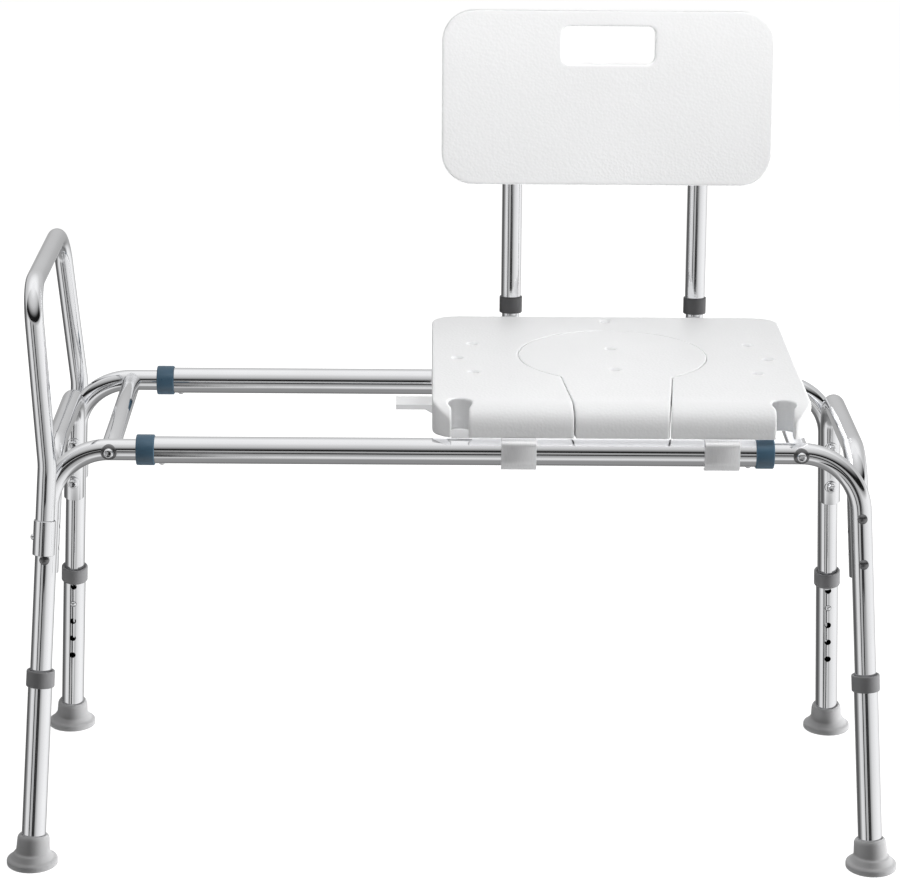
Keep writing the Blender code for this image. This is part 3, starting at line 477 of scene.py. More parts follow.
def drill(obj, holes, sides=32):
    """Cut round holes, each (centre, axis, radius, half_depth)."""
    cutters = []
    for i, (centre, axis, radius, half_depth) in enumerate(holes):
        profile = [(0, -half_depth), (radius, -half_depth), (radius, half_depth), (0, half_depth)]
        cutter = turned(f"{obj.name}_cutter_{i}", profile, centre, axis, None, sides)
        cutters.append(cutter)
        modifier = obj.modifiers.new("hole", 'BOOLEAN')
        modifier.solver = 'EXACT'
        modifier.object = cutter
    bake_modifiers(obj)
    for cutter in cutters:
        bpy.data.objects.remove(cutter, do_unlink=True)
    return obj


# ---------------------------------------------------------------- leg geometry
def from_middle(x, y, z):
    """A point given from the frame's middle plane."""
    return Vector((x, MIDDLE_Y + y, z))


def corner_name(corner):
    return next(name for name, value in CORNERS.items() if value == corner)


def leg_axis(corner):
    """Unit vector down a leg."""
    return Vector(JOINTS["leg_height_" + corner_name(corner)]["axis"]).normalized()


def leg_point(corner, height):
    ground = Vector(MOUNTS["foot_base_" + corner_name(corner)]["pos_m"])
    axis = leg_axis(corner)
    return ground + axis * (height / axis.z)


def inward(corner):
    """Unit vector square to a bent leg frame, towards the bench's middle."""
    normal = Vector((1, 0, 0)).cross(leg_axis(corner)).normalized()
    return normal if normal.y * corner[1] < 0 else -normal


def button(name, origin, outward, radius, bottom, top, body, node):
    """A domed spring button."""
    profile = [(0, bottom), (radius, bottom)]
    steps = 6
    dome = radius * 0.8
    for i in range(steps + 1):
        angle = math.pi / 2 * i / steps
        profile.append((radius * math.cos(angle) if i < steps else 0, top - dome * (1 - math.sin(angle))))
    obj = turned(name, profile, origin, outward, BRIGHT_METAL, 24)
    return place(obj, body, "steel", node)


# ---------------------------------------------------------------- rails, collars, bent frames
def build_rails():
    for word, side_y in (("front", -1), ("rear", 1)):
        ends = [from_middle(side * RAIL_HALF, side_y * RAIL_SPREAD, RAIL_Z) for side in (-1, 1)]
        rail = hollow_tube(word + "_rail_tube", *ends, RAIL_RADIUS, RAIL_WALL, TUBE_METAL, 96)
        holes = []
        for side in SIDES:
            node = f"rail_button_{word}_{side}"
            middle = box_middle(node)
            centre = Vector((middle.x, middle.y, RAIL_Z - RAIL_RADIUS))
            holes.append((centre, Vector((0, 0, -1)), HOLE_RADIUS, 0.006))
            button("pin_" + node, Vector((middle.x, middle.y, RAIL_Z)), Vector((0, 0, -1)), PIN_RADIUS, 0.0085,
                   RAIL_RADIUS + 0.0024, node, node)
        drill(rail, holes)
        place(rail, "frame", "polished_aluminium", word + "_rail")


def build_rail_collar(name, corner):
    node = "rail_collar_" + name
    low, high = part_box(node)
    length = 0.0216
    outer = box_size(node).z / 2
    lip = 0.0017
    end = corner[0] * max(abs(low.x), abs(high.x))
    origin = Vector((end, (low.y + high.y) / 2, RAIL_Z))
    axis = Vector((corner[0], 0, 0))
    bore = FRAME_RADIUS + 0.0004
    fit = RAIL_RADIUS + 0.00045
    profile = rounded(outer, outer, -length, 0.0, 0.0016)
    profile += [(bore + 0.0005, 0.0), (bore, -0.0005), (bore, -lip), (fit, -lip), (fit, -length)]
    collar = turned("collar_" + node, profile, origin, axis, BLUE_PLASTIC, 64, loop=True)
    place(collar, "frame", "blue_plastic", node)


def build_leg_frame(name, corner):
    side_x, side_y = corner
    start = from_middle(side_x * (RAIL_HALF - FRAME_IN_RAIL), side_y * RAIL_SPREAD, RAIL_Z)
    path = bent_path([start, leg_point(corner, RAIL_Z), leg_point(corner, UPPER_LEG_END_Z)], [FRAME_BEND], 28)
    bent = tube("bent_frame_" + name, path, FRAME_RADIUS, TUBE_WALL, TUBE_METAL)
    # A slot inside the lower leg leaves room for the leg button when it is pressed.
    axis, outward = leg_axis(corner), inward(corner)
    turn = Matrix((axis.cross(outward), axis, outward)).transposed().to_4x4()
    matrix = Matrix.Translation(leg_point(corner, LEG_BUTTON_Z) + outward * FRAME_RADIUS) @ turn
    half = LEG_SLOT_WIDTH / 2
    upper, lower = LEG_SLOT_ENDS
    outline = [(-half, upper), (half, upper), (half, lower), (-half, lower)]
    cutters = carve(bent, [slab("leg_slot_cut", outline, -LEG_SLOT_DEPTH, LEG_SLOT_DEPTH, matrix)])
    bake_modifiers(bent)
    bpy.data.objects.remove(cutters[0], do_unlink=True)
    place(bent, "frame", "polished_aluminium", "leg_frame_" + name)


def hexagon(reach):
    def radius(angle):
        return reach / math.cos((angle + math.pi / 6) % (math.pi / 3) - math.pi / 6)
    return radius


def socket_screw(name, origin, outward, radius, height, body, material=BOLT_METAL):
    """A button-head screw with a hexagon socket."""
    steps = 5
    profile = []
    for i in range(steps + 1):
        angle = math.pi / 2 * i / steps
        profile.append((radius - height * 0.55 * (1 - math.cos(angle)), height * math.sin(angle)))
    key = radius * 0.50
    profile = [(0, -0.001), (radius, -0.001)] + profile
    profile += [(hexagon(key), height), (hexagon(key), 0.0), (0, -0.0002)]
    obj = turned(name, profile, origin, outward, material, 48, sharp=30.0)
    return place(obj, body, "steel")


def saddle(name, origin, outward, along, radius, tube_radius, material, body):
    """A washer curved to sit on a tube, with a rounded rim."""
    shape = bmesh.new()
    across = outward.cross(along).normalized()
    rings = []
    for reach, rise in ((0.0032, 0.0010), (radius * 0.86, 0.0017), (radius * 0.97, 0.0013), (radius, 0.0006),
                        (radius, 0.0), (0.0032, 0.0)):
        corners = []
        for i in range(48):
            angle = 2 * math.pi * i / 48
            u = math.cos(angle) * reach
            v = math.sin(angle) * reach
            drop = math.sqrt(max(tube_radius ** 2 - v ** 2, 0.0))
            corners.append(shape.verts.new(origin + along * u + across * v + outward * (drop + rise + FIT_GAP)))
        rings.append(corners)
    for first, second in zip(rings, rings[1:] + rings[:1]):
        join_rings(shape, first, second)
    obj = make_object(name, shape, material)
    return place(obj, body, "steel")


def build_crossbar(side, side_x):
    reach = RAIL_SPREAD - 0.0050
    ends = [from_middle(side_x * CROSSBAR_X, sign * reach, RAIL_Z) for sign in (-1, 1)]
    bar = tube("crossbar_tube_" + side, ends[:1] + [ends[0].lerp(ends[1], 0.5)] + ends[1:], CROSSBAR_RADIUS,
               TUBE_WALL, TUBE_METAL)
    place(bar, "frame", "polished_aluminium", "crossbar_" + side)


def build_crossbar_bolt(name, corner):
    axis_point = from_middle(corner[0] * CROSSBAR_X, corner[1] * RAIL_SPREAD, RAIL_Z)
    outward = Vector((0, corner[1], 0))
    washer = saddle("washer_crossbar_" + name, axis_point, outward, Vector((1, 0, 0)), 0.0094, FRAME_RADIUS,
                    DARK_METAL, "frame")
    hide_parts("crossbar_bolt_" + name)
    socket_screw("screw_crossbar_" + name, axis_point + outward * (FRAME_RADIUS + 0.0020), outward, 0.0060, 0.0042,
                 "frame", BRIGHT_METAL)


# ---------------------------------------------------------------- bows and their bolts
BOW_OFFSET = 2 * FRAME_RADIUS + FIT_GAP
BOW_BOLT_Z = (0.369, 0.423)
BOW_HOLE_Z = (0.3736, 0.3996)
BOW_CAP = (0.0060, 0.0012, 0.0034)      # radius, rim height, dome height


def build_bow(side, side_x):
    corners = []
    for corner, heights in (((side_x, -1), (BOW_END_Z, BOW_TOP_Z)), ((side_x, 1), (BOW_TOP_Z, BOW_END_Z))):
        lift = BOW_OFFSET * inward(corner).z
        corners += [leg_point(corner, height - lift) + inward(corner) * BOW_OFFSET for height in heights]
    bow = tube("bow_tube_" + side, bent_path(corners, [BOW_BEND, BOW_BEND], 20), FRAME_RADIUS, TUBE_WALL, TUBE_METAL)
    towards_seat = Vector((-side_x, 0, 0))
    holes = []
    for height in BOW_HOLE_Z:
        lift = BOW_OFFSET * inward((side_x, -1)).z
        middle = leg_point((side_x, -1), height - lift) + inward((side_x, -1)) * BOW_OFFSET
        holes.append((middle + towards_seat * FRAME_RADIUS, towards_seat, 0.0040, 0.004))
    drill(bow, holes)
    place(bow, "frame", "polished_aluminium", "end_bow_" + side)
    for side_y in (-1, 1):
        for i, height in enumerate(BOW_BOLT_Z):
            build_bow_bolt(f"{side}_{'front' if side_y < 0 else 'rear'}_{i + 1}", (side_x, side_y), height)


def build_bow_bolt(name, corner, height):
    """Screw and saddle washer on the bow's free side, and a cap nut on the leg's outer side."""
    facing = inward(corner)
    along = leg_axis(corner)
    lift = BOW_OFFSET * facing.z
    bow_centre = leg_point(corner, height - lift) + facing * BOW_OFFSET
    saddle("washer_bow_" + name, bow_centre, facing, along, 0.0082, FRAME_RADIUS, BRIGHT_METAL, "frame")
    socket_screw("screw_bow_" + name, bow_centre + facing * (FRAME_RADIUS + 0.0018), facing, 0.0056, 0.0040,
                 "frame", BRIGHT_METAL)
    leg_centre = leg_point(corner, height)
    radius, rim, dome = BOW_CAP
    profile = [(0, 0.0), (radius, 0.0)]
    steps = 6
    for i in range(steps + 1):
        angle = math.pi / 2 * i / steps
        profile.append((radius * math.cos(angle) if i < steps else 0, rim + dome * math.sin(angle)))
    cap = turned("cap_bow_" + name, profile, leg_centre - facing * (FRAME_RADIUS - 0.0008), -facing, DARK_METAL, 32)
    place(cap, "frame", "steel")


# ---------------------------------------------------------------- lower legs, collars, feet
def build_lower_leg(name, corner):
    axis = leg_axis(corner)
    facing = inward(corner)
    body = "lower_leg_" + name
    ends = [leg_point(corner, height) for height in (LEG_END_Z, LEG_TOP_Z)]
    leg = hollow_tube("lower_tube_" + name, *ends, LEG_RADIUS, THIN_WALL, TUBE_METAL)
    middle = leg_point(corner, LEG_BUTTON_Z)
    holes = []
    for step in (1, 0, -1, -2, -3):
        centre = middle - axis * (HOLE_PITCH * step) + facing * LEG_RADIUS
        holes.append((centre, facing, HOLE_RADIUS, 0.006))
    drill(leg, holes)
    place(leg, body, "polished_aluminium", body)
    button("pin_leg_" + name, middle, facing, PIN_RADIUS, LEG_RADIUS - 0.0013, LEG_RADIUS + 0.0027,
           "leg_button_" + name, "leg_button_" + name)
    build_ring("leg_collar_" + name, leg_point(corner, LEG_COLLAR_Z), -axis, 0.01685, FRAME_RADIUS + 0.0004, 0.020,
               LEG_GREY, body, "grey_plastic")
    build_foot(name, corner, body)


def build_ring(node, centre, axis, outer, bore, length, material, body, slot, inner_lip=0.0008):
    """A plastic ring with eased corners and a shallow countersunk bore at its upper end."""
    half = length / 2
    profile = rounded(outer, outer, -half, half, 0.0015)
    profile += [(bore + 0.0016, half), (bore, half - inner_lip), (bore, -half)]
    obj = turned("ring_" + node, profile, centre, axis, material, 64, loop=True)
    return place(obj, body, slot, node)


def build_foot(name, corner, body):
    """One soft rubber moulding: a round flange with a rim groove, and a cuff in line with the leg."""
    ground = leg_point(corner, 0.0)
    up = -leg_axis(corner)
    size = box_size("foot_" + name)
    flange = min(size.x, size.y) / 2
    base = [(0, 0.0), (flange - 0.0012, 0.0), (flange, 0.0010), (flange, 0.0064), (flange - 0.0010, 0.0078),
            (flange - 0.0045, 0.0092), (0.0240, 0.0120), (0.0212, 0.0160), (0, 0.0160)]
    foot = turned("rubber_foot_" + name, base, ground, Vector((0, 0, 1)), FOOT_RUBBER, 64)
    cuff = turned("cuff", [(0, 0.004), (0.0207, 0.004), (0.0200, 0.020), (0.0192, 0.0325), (0.0178, 0.0358),
                           (0, 0.0358)], ground, up, None, 64)
    joined = foot.modifiers.new("cuff", 'BOOLEAN')
    joined.operation = 'UNION'
    joined.solver = 'EXACT'
    joined.object = cuff
    soften(foot, 0.0009, 6)
    bpy.data.objects.remove(cuff, do_unlink=True)
    groove = [(LEG_RADIUS + 0.0004, 0.0352), (LEG_RADIUS + 0.0004, 0.0366), (LEG_RADIUS + 0.0022, 0.0366),
              (LEG_RADIUS + 0.0030, 0.0352)]
    lip = turned("foot_lip_" + name, groove, ground, up, FOOT_RUBBER, 64, loop=True)
    place(lip, body, "grey_rubber")
    place(foot, body, "grey_rubber", "foot_" + name)


def soften(obj, voxel, rounds, sharp=80.0):
    """Remesh evenly and smooth, which eases every edge as in a moulding."""
    material = obj.data.materials[0]
    remesh = obj.modifiers.new("even", 'REMESH')
    remesh.mode = 'VOXEL'
    remesh.voxel_size = voxel
    smooth = obj.modifiers.new("soft", 'SMOOTH')
    smooth.factor = 0.5
    smooth.iterations = rounds
    bake_modifiers(obj, sharp)
    obj.data.materials.clear()
    obj.data.materials.append(material)
    return obj


# ---------------------------------------------------------------- assist handle
def build_handle():
    offset = FRAME_RADIUS + SOCKET_RADIUS + FIT_GAP
    lower = {}
    for side_y in (-1, 1):
        corner = (-1, side_y)
        out = -inward(corner) * offset
        lower[side_y] = [leg_point(corner, height) + out for height in (SOCKET_Z[side_y] - 0.017, HANDLE_KINK_Z)]
    tops = {side_y: from_middle(-HANDLE_TOP.x, side_y * HANDLE_TOP.y, HANDLE_TOP.z) for side_y in (-1, 1)}
    path = bent_path(lower[-1] + [tops[-1], tops[1]] + lower[1][::-1],
                     [0.100, HANDLE_BEND, HANDLE_BEND, 0.100], 18)
    handle = tube("handle_tube", path, HANDLE_RADIUS, TUBE_WALL, TUBE_METAL)
    place(handle, "frame", "polished_aluminium", "assist_handle")
    for word, side_y in (("front", -1), ("rear", 1)):
        build_socket(word, side_y, offset)


def build_socket(word, side_y, offset):
    corner = (-1, side_y)
    up = -leg_axis(corner)
    middle = leg_point(corner, SOCKET_Z[side_y]) - inward(corner) * offset
    ends = [middle + up * (sign * SOCKET_HALF) for sign in (-1, 1)]
    socket = hollow_tube("socket_tube_" + word, *ends, SOCKET_RADIUS, SOCKET_WALL, TUBE_METAL)
    away = Vector((-1, 0, 0)) if side_y < 0 else Vector((1, 0, 0))
    away = (away - up * away.dot(up)).normalized()
    drill(socket, [(middle + away * SOCKET_RADIUS, away, HOLE_RADIUS, 0.006)])
    place(socket, "frame", "polished_aluminium", "handle_socket_" + word)
    button("pin_handle_" + word, middle, away, PIN_RADIUS, 0.0082, SOCKET_RADIUS + 0.0030,
           "handle_button_" + word, "handle_button_" + word)


# ---------------------------------------------------------------- seat
SEAT_X = (SEAT_LOW.x + SEAT_HIGH.x) / 2
SEAT_FRONT = SEAT_LOW.y - MIDDLE_Y
SEAT_BACK = SEAT_HIGH.y - MIDDLE_Y
SEAT_BOTTOM = SEAT_LOW.z
SEAT_TOP = SEAT_HIGH.z
SEAT_CORNER = 0.030
SEAT_FRONT_ROUND = 0.026
NOTCH_X = 0.190
NOTCH_Y = -0.141
NOTCH_RADIUS = 0.0142
NOTCH_SLOT = 0.0200
LOBE_Y = 0.062
LOBE_RADIUS = 0.116
NECK_BACK = 0.067
NECK_FRONT = 0.055
SEAT_DRAINS = ((-0.172, 0.113), (-0.191, 0.048), (-0.172, -0.015),
               (0.172, 0.113), (0.191, 0.048), (0.172, -0.015), (0.0, 0.2235))
INSERT_DRAINS = ((0.0, 0.093), (0.0, -0.001))
DRAIN_RADII = (0.0036, 0.0052, 0.0074)
SEAT_VOXEL = 0.0012
SOFT_ROUNDS = 12
SEAM_GAP = 0.0003
SPARE = 0.02                            # how far cutters reach past what they cut


def arc(centre_x, centre_y, radius, start, end, steps):
    angles = [math.radians(start + (end - start) * i / steps) for i in range(steps + 1)]
    return [(centre_x + radius * math.cos(a), centre_y + radius * math.sin(a)) for a in angles]


def rounded_rectangle(low_x, low_y, high_x, high_y, radius, steps):
    outline = arc(high_x - radius, high_y - radius, radius, 0, 90, steps)
    outline += arc(low_x + radius, high_y - radius, radius, 90, 180, steps)
    outline += arc(low_x + radius, low_y + radius, radius, 180, 270, steps)
    outline += arc(high_x - radius, low_y + radius, radius, 270, 360, steps)
    return outline


def slab(name, outline, low, high, matrix, material=None):
    """A closed plate with a flat outline, from low to high along the matrix's Z."""
    shape = bmesh.new()
    bottom = [shape.verts.new(matrix @ Vector((x, y, low))) for x, y in outline]
    top = [shape.verts.new(matrix @ Vector((x, y, high))) for x, y in outline]
    shape.faces.new(bottom[::-1])
    shape.faces.new(top)
    join_rings(shape, bottom, top)
    bmesh.ops.triangulate(shape, faces=[f for f in shape.faces if len(f.verts) > 4])
    return make_object(name, shape, material)


def carve(obj, cutters):
    for cutter in cutters:
        modifier = obj.modifiers.new("carve", 'BOOLEAN')
        modifier.solver = 'EXACT'
        modifier.object = cutter
    return cutters


def seat_matrix():
    return Matrix.Translation(from_middle(SEAT_X, 0.0, 0.0))


def keyhole(grow):
    radius = LOBE_RADIUS + grow
    half_back = NECK_BACK + grow
    half_front = NECK_FRONT + grow
    meet = -math.degrees(math.acos(half_back / radius))
    front = SEAT_FRONT - (0.010 if grow > 0 else 0.0)
    return arc(0.0, LOBE_Y, radius, meet, 180 - meet, 72) + [(-half_front, front), (half_front, front)]


def notch(side):
    half = NOTCH_SLOT / 2
    meet = math.degrees(math.acos(half / NOTCH_RADIUS))
    middle = side * NOTCH_X
    front = SEAT_FRONT - SPARE
    return arc(middle, NOTCH_Y, NOTCH_RADIUS, -meet, 180 + meet, 28) + [(middle - half, front), (middle + half, front)]


def front_round(name):
    """What lies in front of the seat's rounded front edge."""
    radius = SEAT_FRONT_ROUND
    centre_y = SEAT_FRONT + radius
    centre_z = SEAT_TOP - radius
    outline = arc(centre_y, centre_z, radius, 90, 180, 16)
    front, top = SEAT_FRONT - SPARE, SEAT_TOP + SPARE
    outline += [(front, centre_z), (front, top), (centre_y, top)]
    half = (SEAT_HIGH.x - SEAT_LOW.x) / 2 + SPARE
    turn = Matrix(((0, 0, 1), (1, 0, 0), (0, 1, 0))).to_4x4()
    return slab(name, outline, -half, half, seat_matrix() @ turn)


def drain_cutters(drains):
    """A small round hole in a shallow dimple, for each drain."""
    bore, shoulder, dimple = DRAIN_RADII
    low, high = SEAT_BOTTOM - SPARE / 2, SEAT_TOP + SPARE / 2
    hole = [(0, low), (bore, low), (bore, SEAT_TOP - 0.0060), (shoulder, SEAT_TOP - 0.0036),
            (dimple, SEAT_TOP + 0.0006), (dimple, high), (0, high)]
    return [turned(f"drain_{i}", hole, from_middle(SEAT_X + x, y, 0.0), Vector((0, 0, 1)), None, 24)
            for i, (x, y) in enumerate(drains)]


def build_seat():
    half = (SEAT_HIGH.x - SEAT_LOW.x) / 2
    outline = rounded_rectangle(-half, SEAT_FRONT, half, SEAT_BACK, SEAT_CORNER, 14)
    seat = slab("seat_moulding", outline, SEAT_BOTTOM, SEAT_TOP, seat_matrix(), WHITE_PLASTIC)
    over = (SEAT_BOTTOM - SPARE / 2, SEAT_TOP + SPARE / 2)
    cutters = [front_round("front_cut"), slab("keyhole_cut", keyhole(SEAM_GAP), *over, seat_matrix())]
    cutters += [slab(f"notch_cut_{side}", notch(sign), *over, seat_matrix()) for side, sign in SIDES.items()]
    cutters += drain_cutters(SEAT_DRAINS)
    carve(seat, cutters)
    soften(seat, SEAT_VOXEL, SOFT_ROUNDS)
    place(seat, "seat_carriage", "white_plastic", "seat_panel")
    insert = slab("insert_moulding", keyhole(0.0), SEAT_BOTTOM, SEAT_TOP, seat_matrix(), WHITE_PLASTIC)
    more = [front_round("insert_front_cut")] + drain_cutters(INSERT_DRAINS)
    carve(insert, more)
    soften(insert, SEAT_VOXEL, SOFT_ROUNDS)
    place(insert, "seat_insert", "white_plastic", "seat_insert")
    for cutter in cutters + more:
        bpy.data.objects.remove(cutter, do_unlink=True)


# ---------------------------------------------------------------- slide brackets
def build_bracket(side):
    node = "slide_bracket_" + side
    middle = box_middle(node)
    size = box_size(node)
    thick = 0.003
    wall = size.y / 2 - thick / 2
    low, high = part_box(node)
    lip_z = low.z + thick / 2
    plate_z = high.z - thick / 2
    lip = 0.014
    corner_points = [Vector((0, wall - lip, lip_z)), Vector((0, wall, lip_z)), Vector((0, wall, plate_z)),
                     Vector((0, 0, plate_z))]
    hook = bent_path(corner_points, [0.0135, 0.008], 10)[:-1]
    path = [Vector((0, -p.y, p.z)) for p in hook] + hook[::-1]
    shape = bmesh.new()
    lines = []
    for offset in (-size.x / 2, size.x / 2):
        lines.append([shape.verts.new((middle.x + offset, middle.y + p.y, p.z)) for p in path])
    for i in range(len(path) - 1):
        shape.faces.new((lines[0][i], lines[1][i], lines[1][i + 1], lines[0][i + 1]))
    bracket = make_object("bracket_plate_" + side, shape, PLATE_METAL)
    plate = bracket.modifiers.new("plate", 'SOLIDIFY')
    plate.thickness = thick
    plate.offset = 0.0
    plate.use_even_offset = True
    ease = bracket.modifiers.new("ease", 'BEVEL')
    ease.width = 0.0005
    ease.segments = 2
    ease.limit_method = 'ANGLE'
    ease.angle_limit = math.radians(50)
    bake_modifiers(bracket)
    place(bracket, "seat_carriage", "satin_aluminium", node)
    for sign_y in (-1, 1):
        for sign_x in (-1, 1):
            head = Vector((middle.x + sign_x * size.x * 0.27, MIDDLE_Y + sign_y * 0.090, plate_z - thick / 2))
            word = f"{side}_{'front' if sign_y < 0 else 'rear'}_{'left' if sign_x < 0 else 'right'}"
            socket_screw("screw_bracket_" + word, head, Vector((0, 0, -1)), 0.0042, 0.0026, "seat_carriage")


# ---------------------------------------------------------------- backrest
BACK_COLLAR_LENGTH = 0.021
BACK_SUPPORT_Z = 0.500
BACK_SUPPORT_BEND = 0.026
BACK_SUPPORT_TOP = 0.085
BACK_TUBE_TOP = 0.330
BACK_BUTTON_RISE = 0.040
BACKREST_BOTTOM = 0.160
BACKREST_SIZE = (0.420, 0.220, 0.022)
BACKREST_CORNER = 0.040
HAND_SLOT = (0.118, 0.048)
HAND_SLOT_BELOW_TOP = 0.043
BACK_FRONTWARD = Vector((0, -BACK_UP.z, BACK_UP.y))


def collar_middle(x):
    """The middle of a back collar, where the rises along the upright are counted from."""
    middle = box_middle("back_collar_left")
    return Vector((x, middle.y, middle.z))


def build_back(side, x):
    base = collar_middle(x)
    bracket_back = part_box("back_support_" + side)[0].y
    start = Vector((x, bracket_back, BACK_SUPPORT_Z))
    corner = base + BACK_UP * ((BACK_SUPPORT_Z - base.z) / BACK_UP.z)
    path = bent_path([start, corner, base + BACK_UP * BACK_SUPPORT_TOP], [BACK_SUPPORT_BEND], 16)
    support = tube("support_tube_" + side, path, HANDLE_RADIUS, TUBE_WALL, TUBE_METAL)
    rearward = -BACK_FRONTWARD
    pin_at = base + BACK_UP * BACK_BUTTON_RISE
    drill(support, [(pin_at + rearward * HANDLE_RADIUS, rearward, HOLE_RADIUS, 0.005)])
    place(support, "seat_carriage", "polished_aluminium", "back_support_" + side)
    low = 0.0025 - BACK_COLLAR_LENGTH / 2
    post = hollow_tube("back_post_" + side, base + BACK_UP * low, base + BACK_UP * BACK_TUBE_TOP, FRAME_RADIUS,
                       THIN_WALL, TUBE_METAL)
    drill(post, [(pin_at + rearward * FRAME_RADIUS, rearward, HOLE_RADIUS, 0.005)])
    place(post, "backrest", "polished_aluminium", "back_tube_" + side)
    button("pin_back_" + side, pin_at, rearward, PIN_RADIUS, 0.0115, FRAME_RADIUS + 0.0027, "back_button_" + side,
           "back_button_" + side)
    build_ring("back_collar_" + side, base, BACK_UP, 0.0146, FRAME_RADIUS + 0.0004, BACK_COLLAR_LENGTH, SHADED_BACK_GREY,
               "backrest", "grey_plastic")


def build_backrest():
    width, height, thick = BACKREST_SIZE
    forward = FRAME_RADIUS + FIT_GAP + thick / 2
    middle = collar_middle(sum(BACK_X) / 2) + BACK_UP * (BACKREST_BOTTOM + height / 2) + BACK_FRONTWARD * forward
    turn = Matrix((Vector((1, 0, 0)), BACK_UP, BACK_FRONTWARD)).transposed().to_4x4()
    matrix = Matrix.Translation(middle) @ turn
    outline = rounded_rectangle(-width / 2, -height / 2, width / 2, height / 2, BACKREST_CORNER, 18)
    panel = slab("backrest_moulding", outline, -thick / 2, thick / 2, matrix, LIT_BACKREST_PLASTIC)
    slot_y = height / 2 - HAND_SLOT_BELOW_TOP
    half_w, half_h = HAND_SLOT[0] / 2, HAND_SLOT[1] / 2
    slot = rounded_rectangle(-half_w, slot_y - half_h, half_w, slot_y + half_h, 0.010, 8)
    cutters = carve(panel, [slab("hand_slot_cut", slot, -thick, thick, matrix)])
    soften(panel, SEAT_VOXEL, SOFT_ROUNDS)
    place(panel, "backrest", "white_plastic", "backrest")
    for cutter in cutters:
        bpy.data.objects.remove(cutter, do_unlink=True)
    for side, x in zip(SIDES, BACK_X):
        for i, rise in enumerate((BACKREST_BOTTOM + 0.035, BACKREST_BOTTOM + 0.120)):
            head = collar_middle(x) + BACK_UP * rise - BACK_FRONTWARD * (FRAME_RADIUS - 0.0006)
            socket_screw(f"screw_backrest_{side}_{i + 1}", head, -BACK_FRONTWARD, 0.0048, 0.0030, "backrest")


# ---------------------------------------------------------------- seat lock
def build_lock():
    """The lock keeps its CAD shapes, with eased edges and finished materials."""
    for node, material in (("lock_housing", SMOOTH_WHITE), ("lock_lever", SMOOTH_WHITE), ("lever_pivot", BOLT_METAL),
                           ("lock_plunger", BOLT_METAL)):
        obj = frame["nodes"][node]
        obj.data.materials.clear()
        obj.data.materials.append(material)
        if material is SMOOTH_WHITE:
            ease = obj.modifiers.new("ease", 'BEVEL')
            ease.width = 0.0012
            ease.segments = 3
            ease.limit_method = 'ANGLE'
            ease.angle_limit = math.radians(40)


# ---------------------------------------------------------------- stage, light and camera
def ramp_node(tree, stops):
    """A colour ramp of greys from (position, grey) stops."""
    node = tree.nodes.new("ShaderNodeValToRGB")
    ramp = node.color_ramp
    while len(ramp.elements) > 1:
        ramp.elements.remove(ramp.elements[-1])
    for i, (position, grey) in enumerate(stops):
        element = ramp.elements[0] if i == 0 else ramp.elements.new(position)
        element.position = position
        element.color = (grey, grey, grey, 1.0)
    return node


# Brightness of the studio as polished metal sees it, by height (sine of the elevation) in front and behind,
# and by bearing (degrees, 0 in front, to the right positive) at the heights that upright tubes reflect.
FRONT_STOPS = ((-1.00, 0.30), (-0.93, 0.30), (-0.85, 0.42), (-0.76, 0.82), (-0.66, 0.80), (-0.50, 0.56),
               (-0.33, 0.36), (-0.22, 0.30), (-0.20, 0.03), (-0.06, 0.03), (-0.03, 0.32), (0.10, 0.45), (0.18, 0.42),
               (0.20, 0.01), (0.37, 0.01), (0.43, 0.10), (0.55, 0.34), (0.69, 0.57), (0.88, 0.72), (1.00, 0.95))
BEHIND_STOPS = ((-1.00, 0.30), (-0.80, 0.18), (-0.50, 0.26), (-0.25, 0.42), (0.00, 0.50), (0.30, 0.60),
                (0.57, 0.66), (0.80, 0.90), (0.92, 1.00), (1.00, 0.95))
BEARING_STOPS = ((-180, 0.40), (-165, 0.24), (-150, 0.14), (-114, 0.10), (-102, 0.20), (-86, 0.46), (-77, 0.80),
                 (-54, 0.78), (-44, 0.52), (-42.5, 0.03), (-35.5, 0.03), (-34, 0.50), (-16, 0.46),
                 (-14.5, 0.01), (-5, 0.01), (-4, 0.42), (10, 0.44), (20, 0.50), (32, 0.74), (55, 0.88), (85, 1.00),
                 (115, 1.00), (132, 0.84), (150, 0.56), (165, 0.42), (180, 0.40))


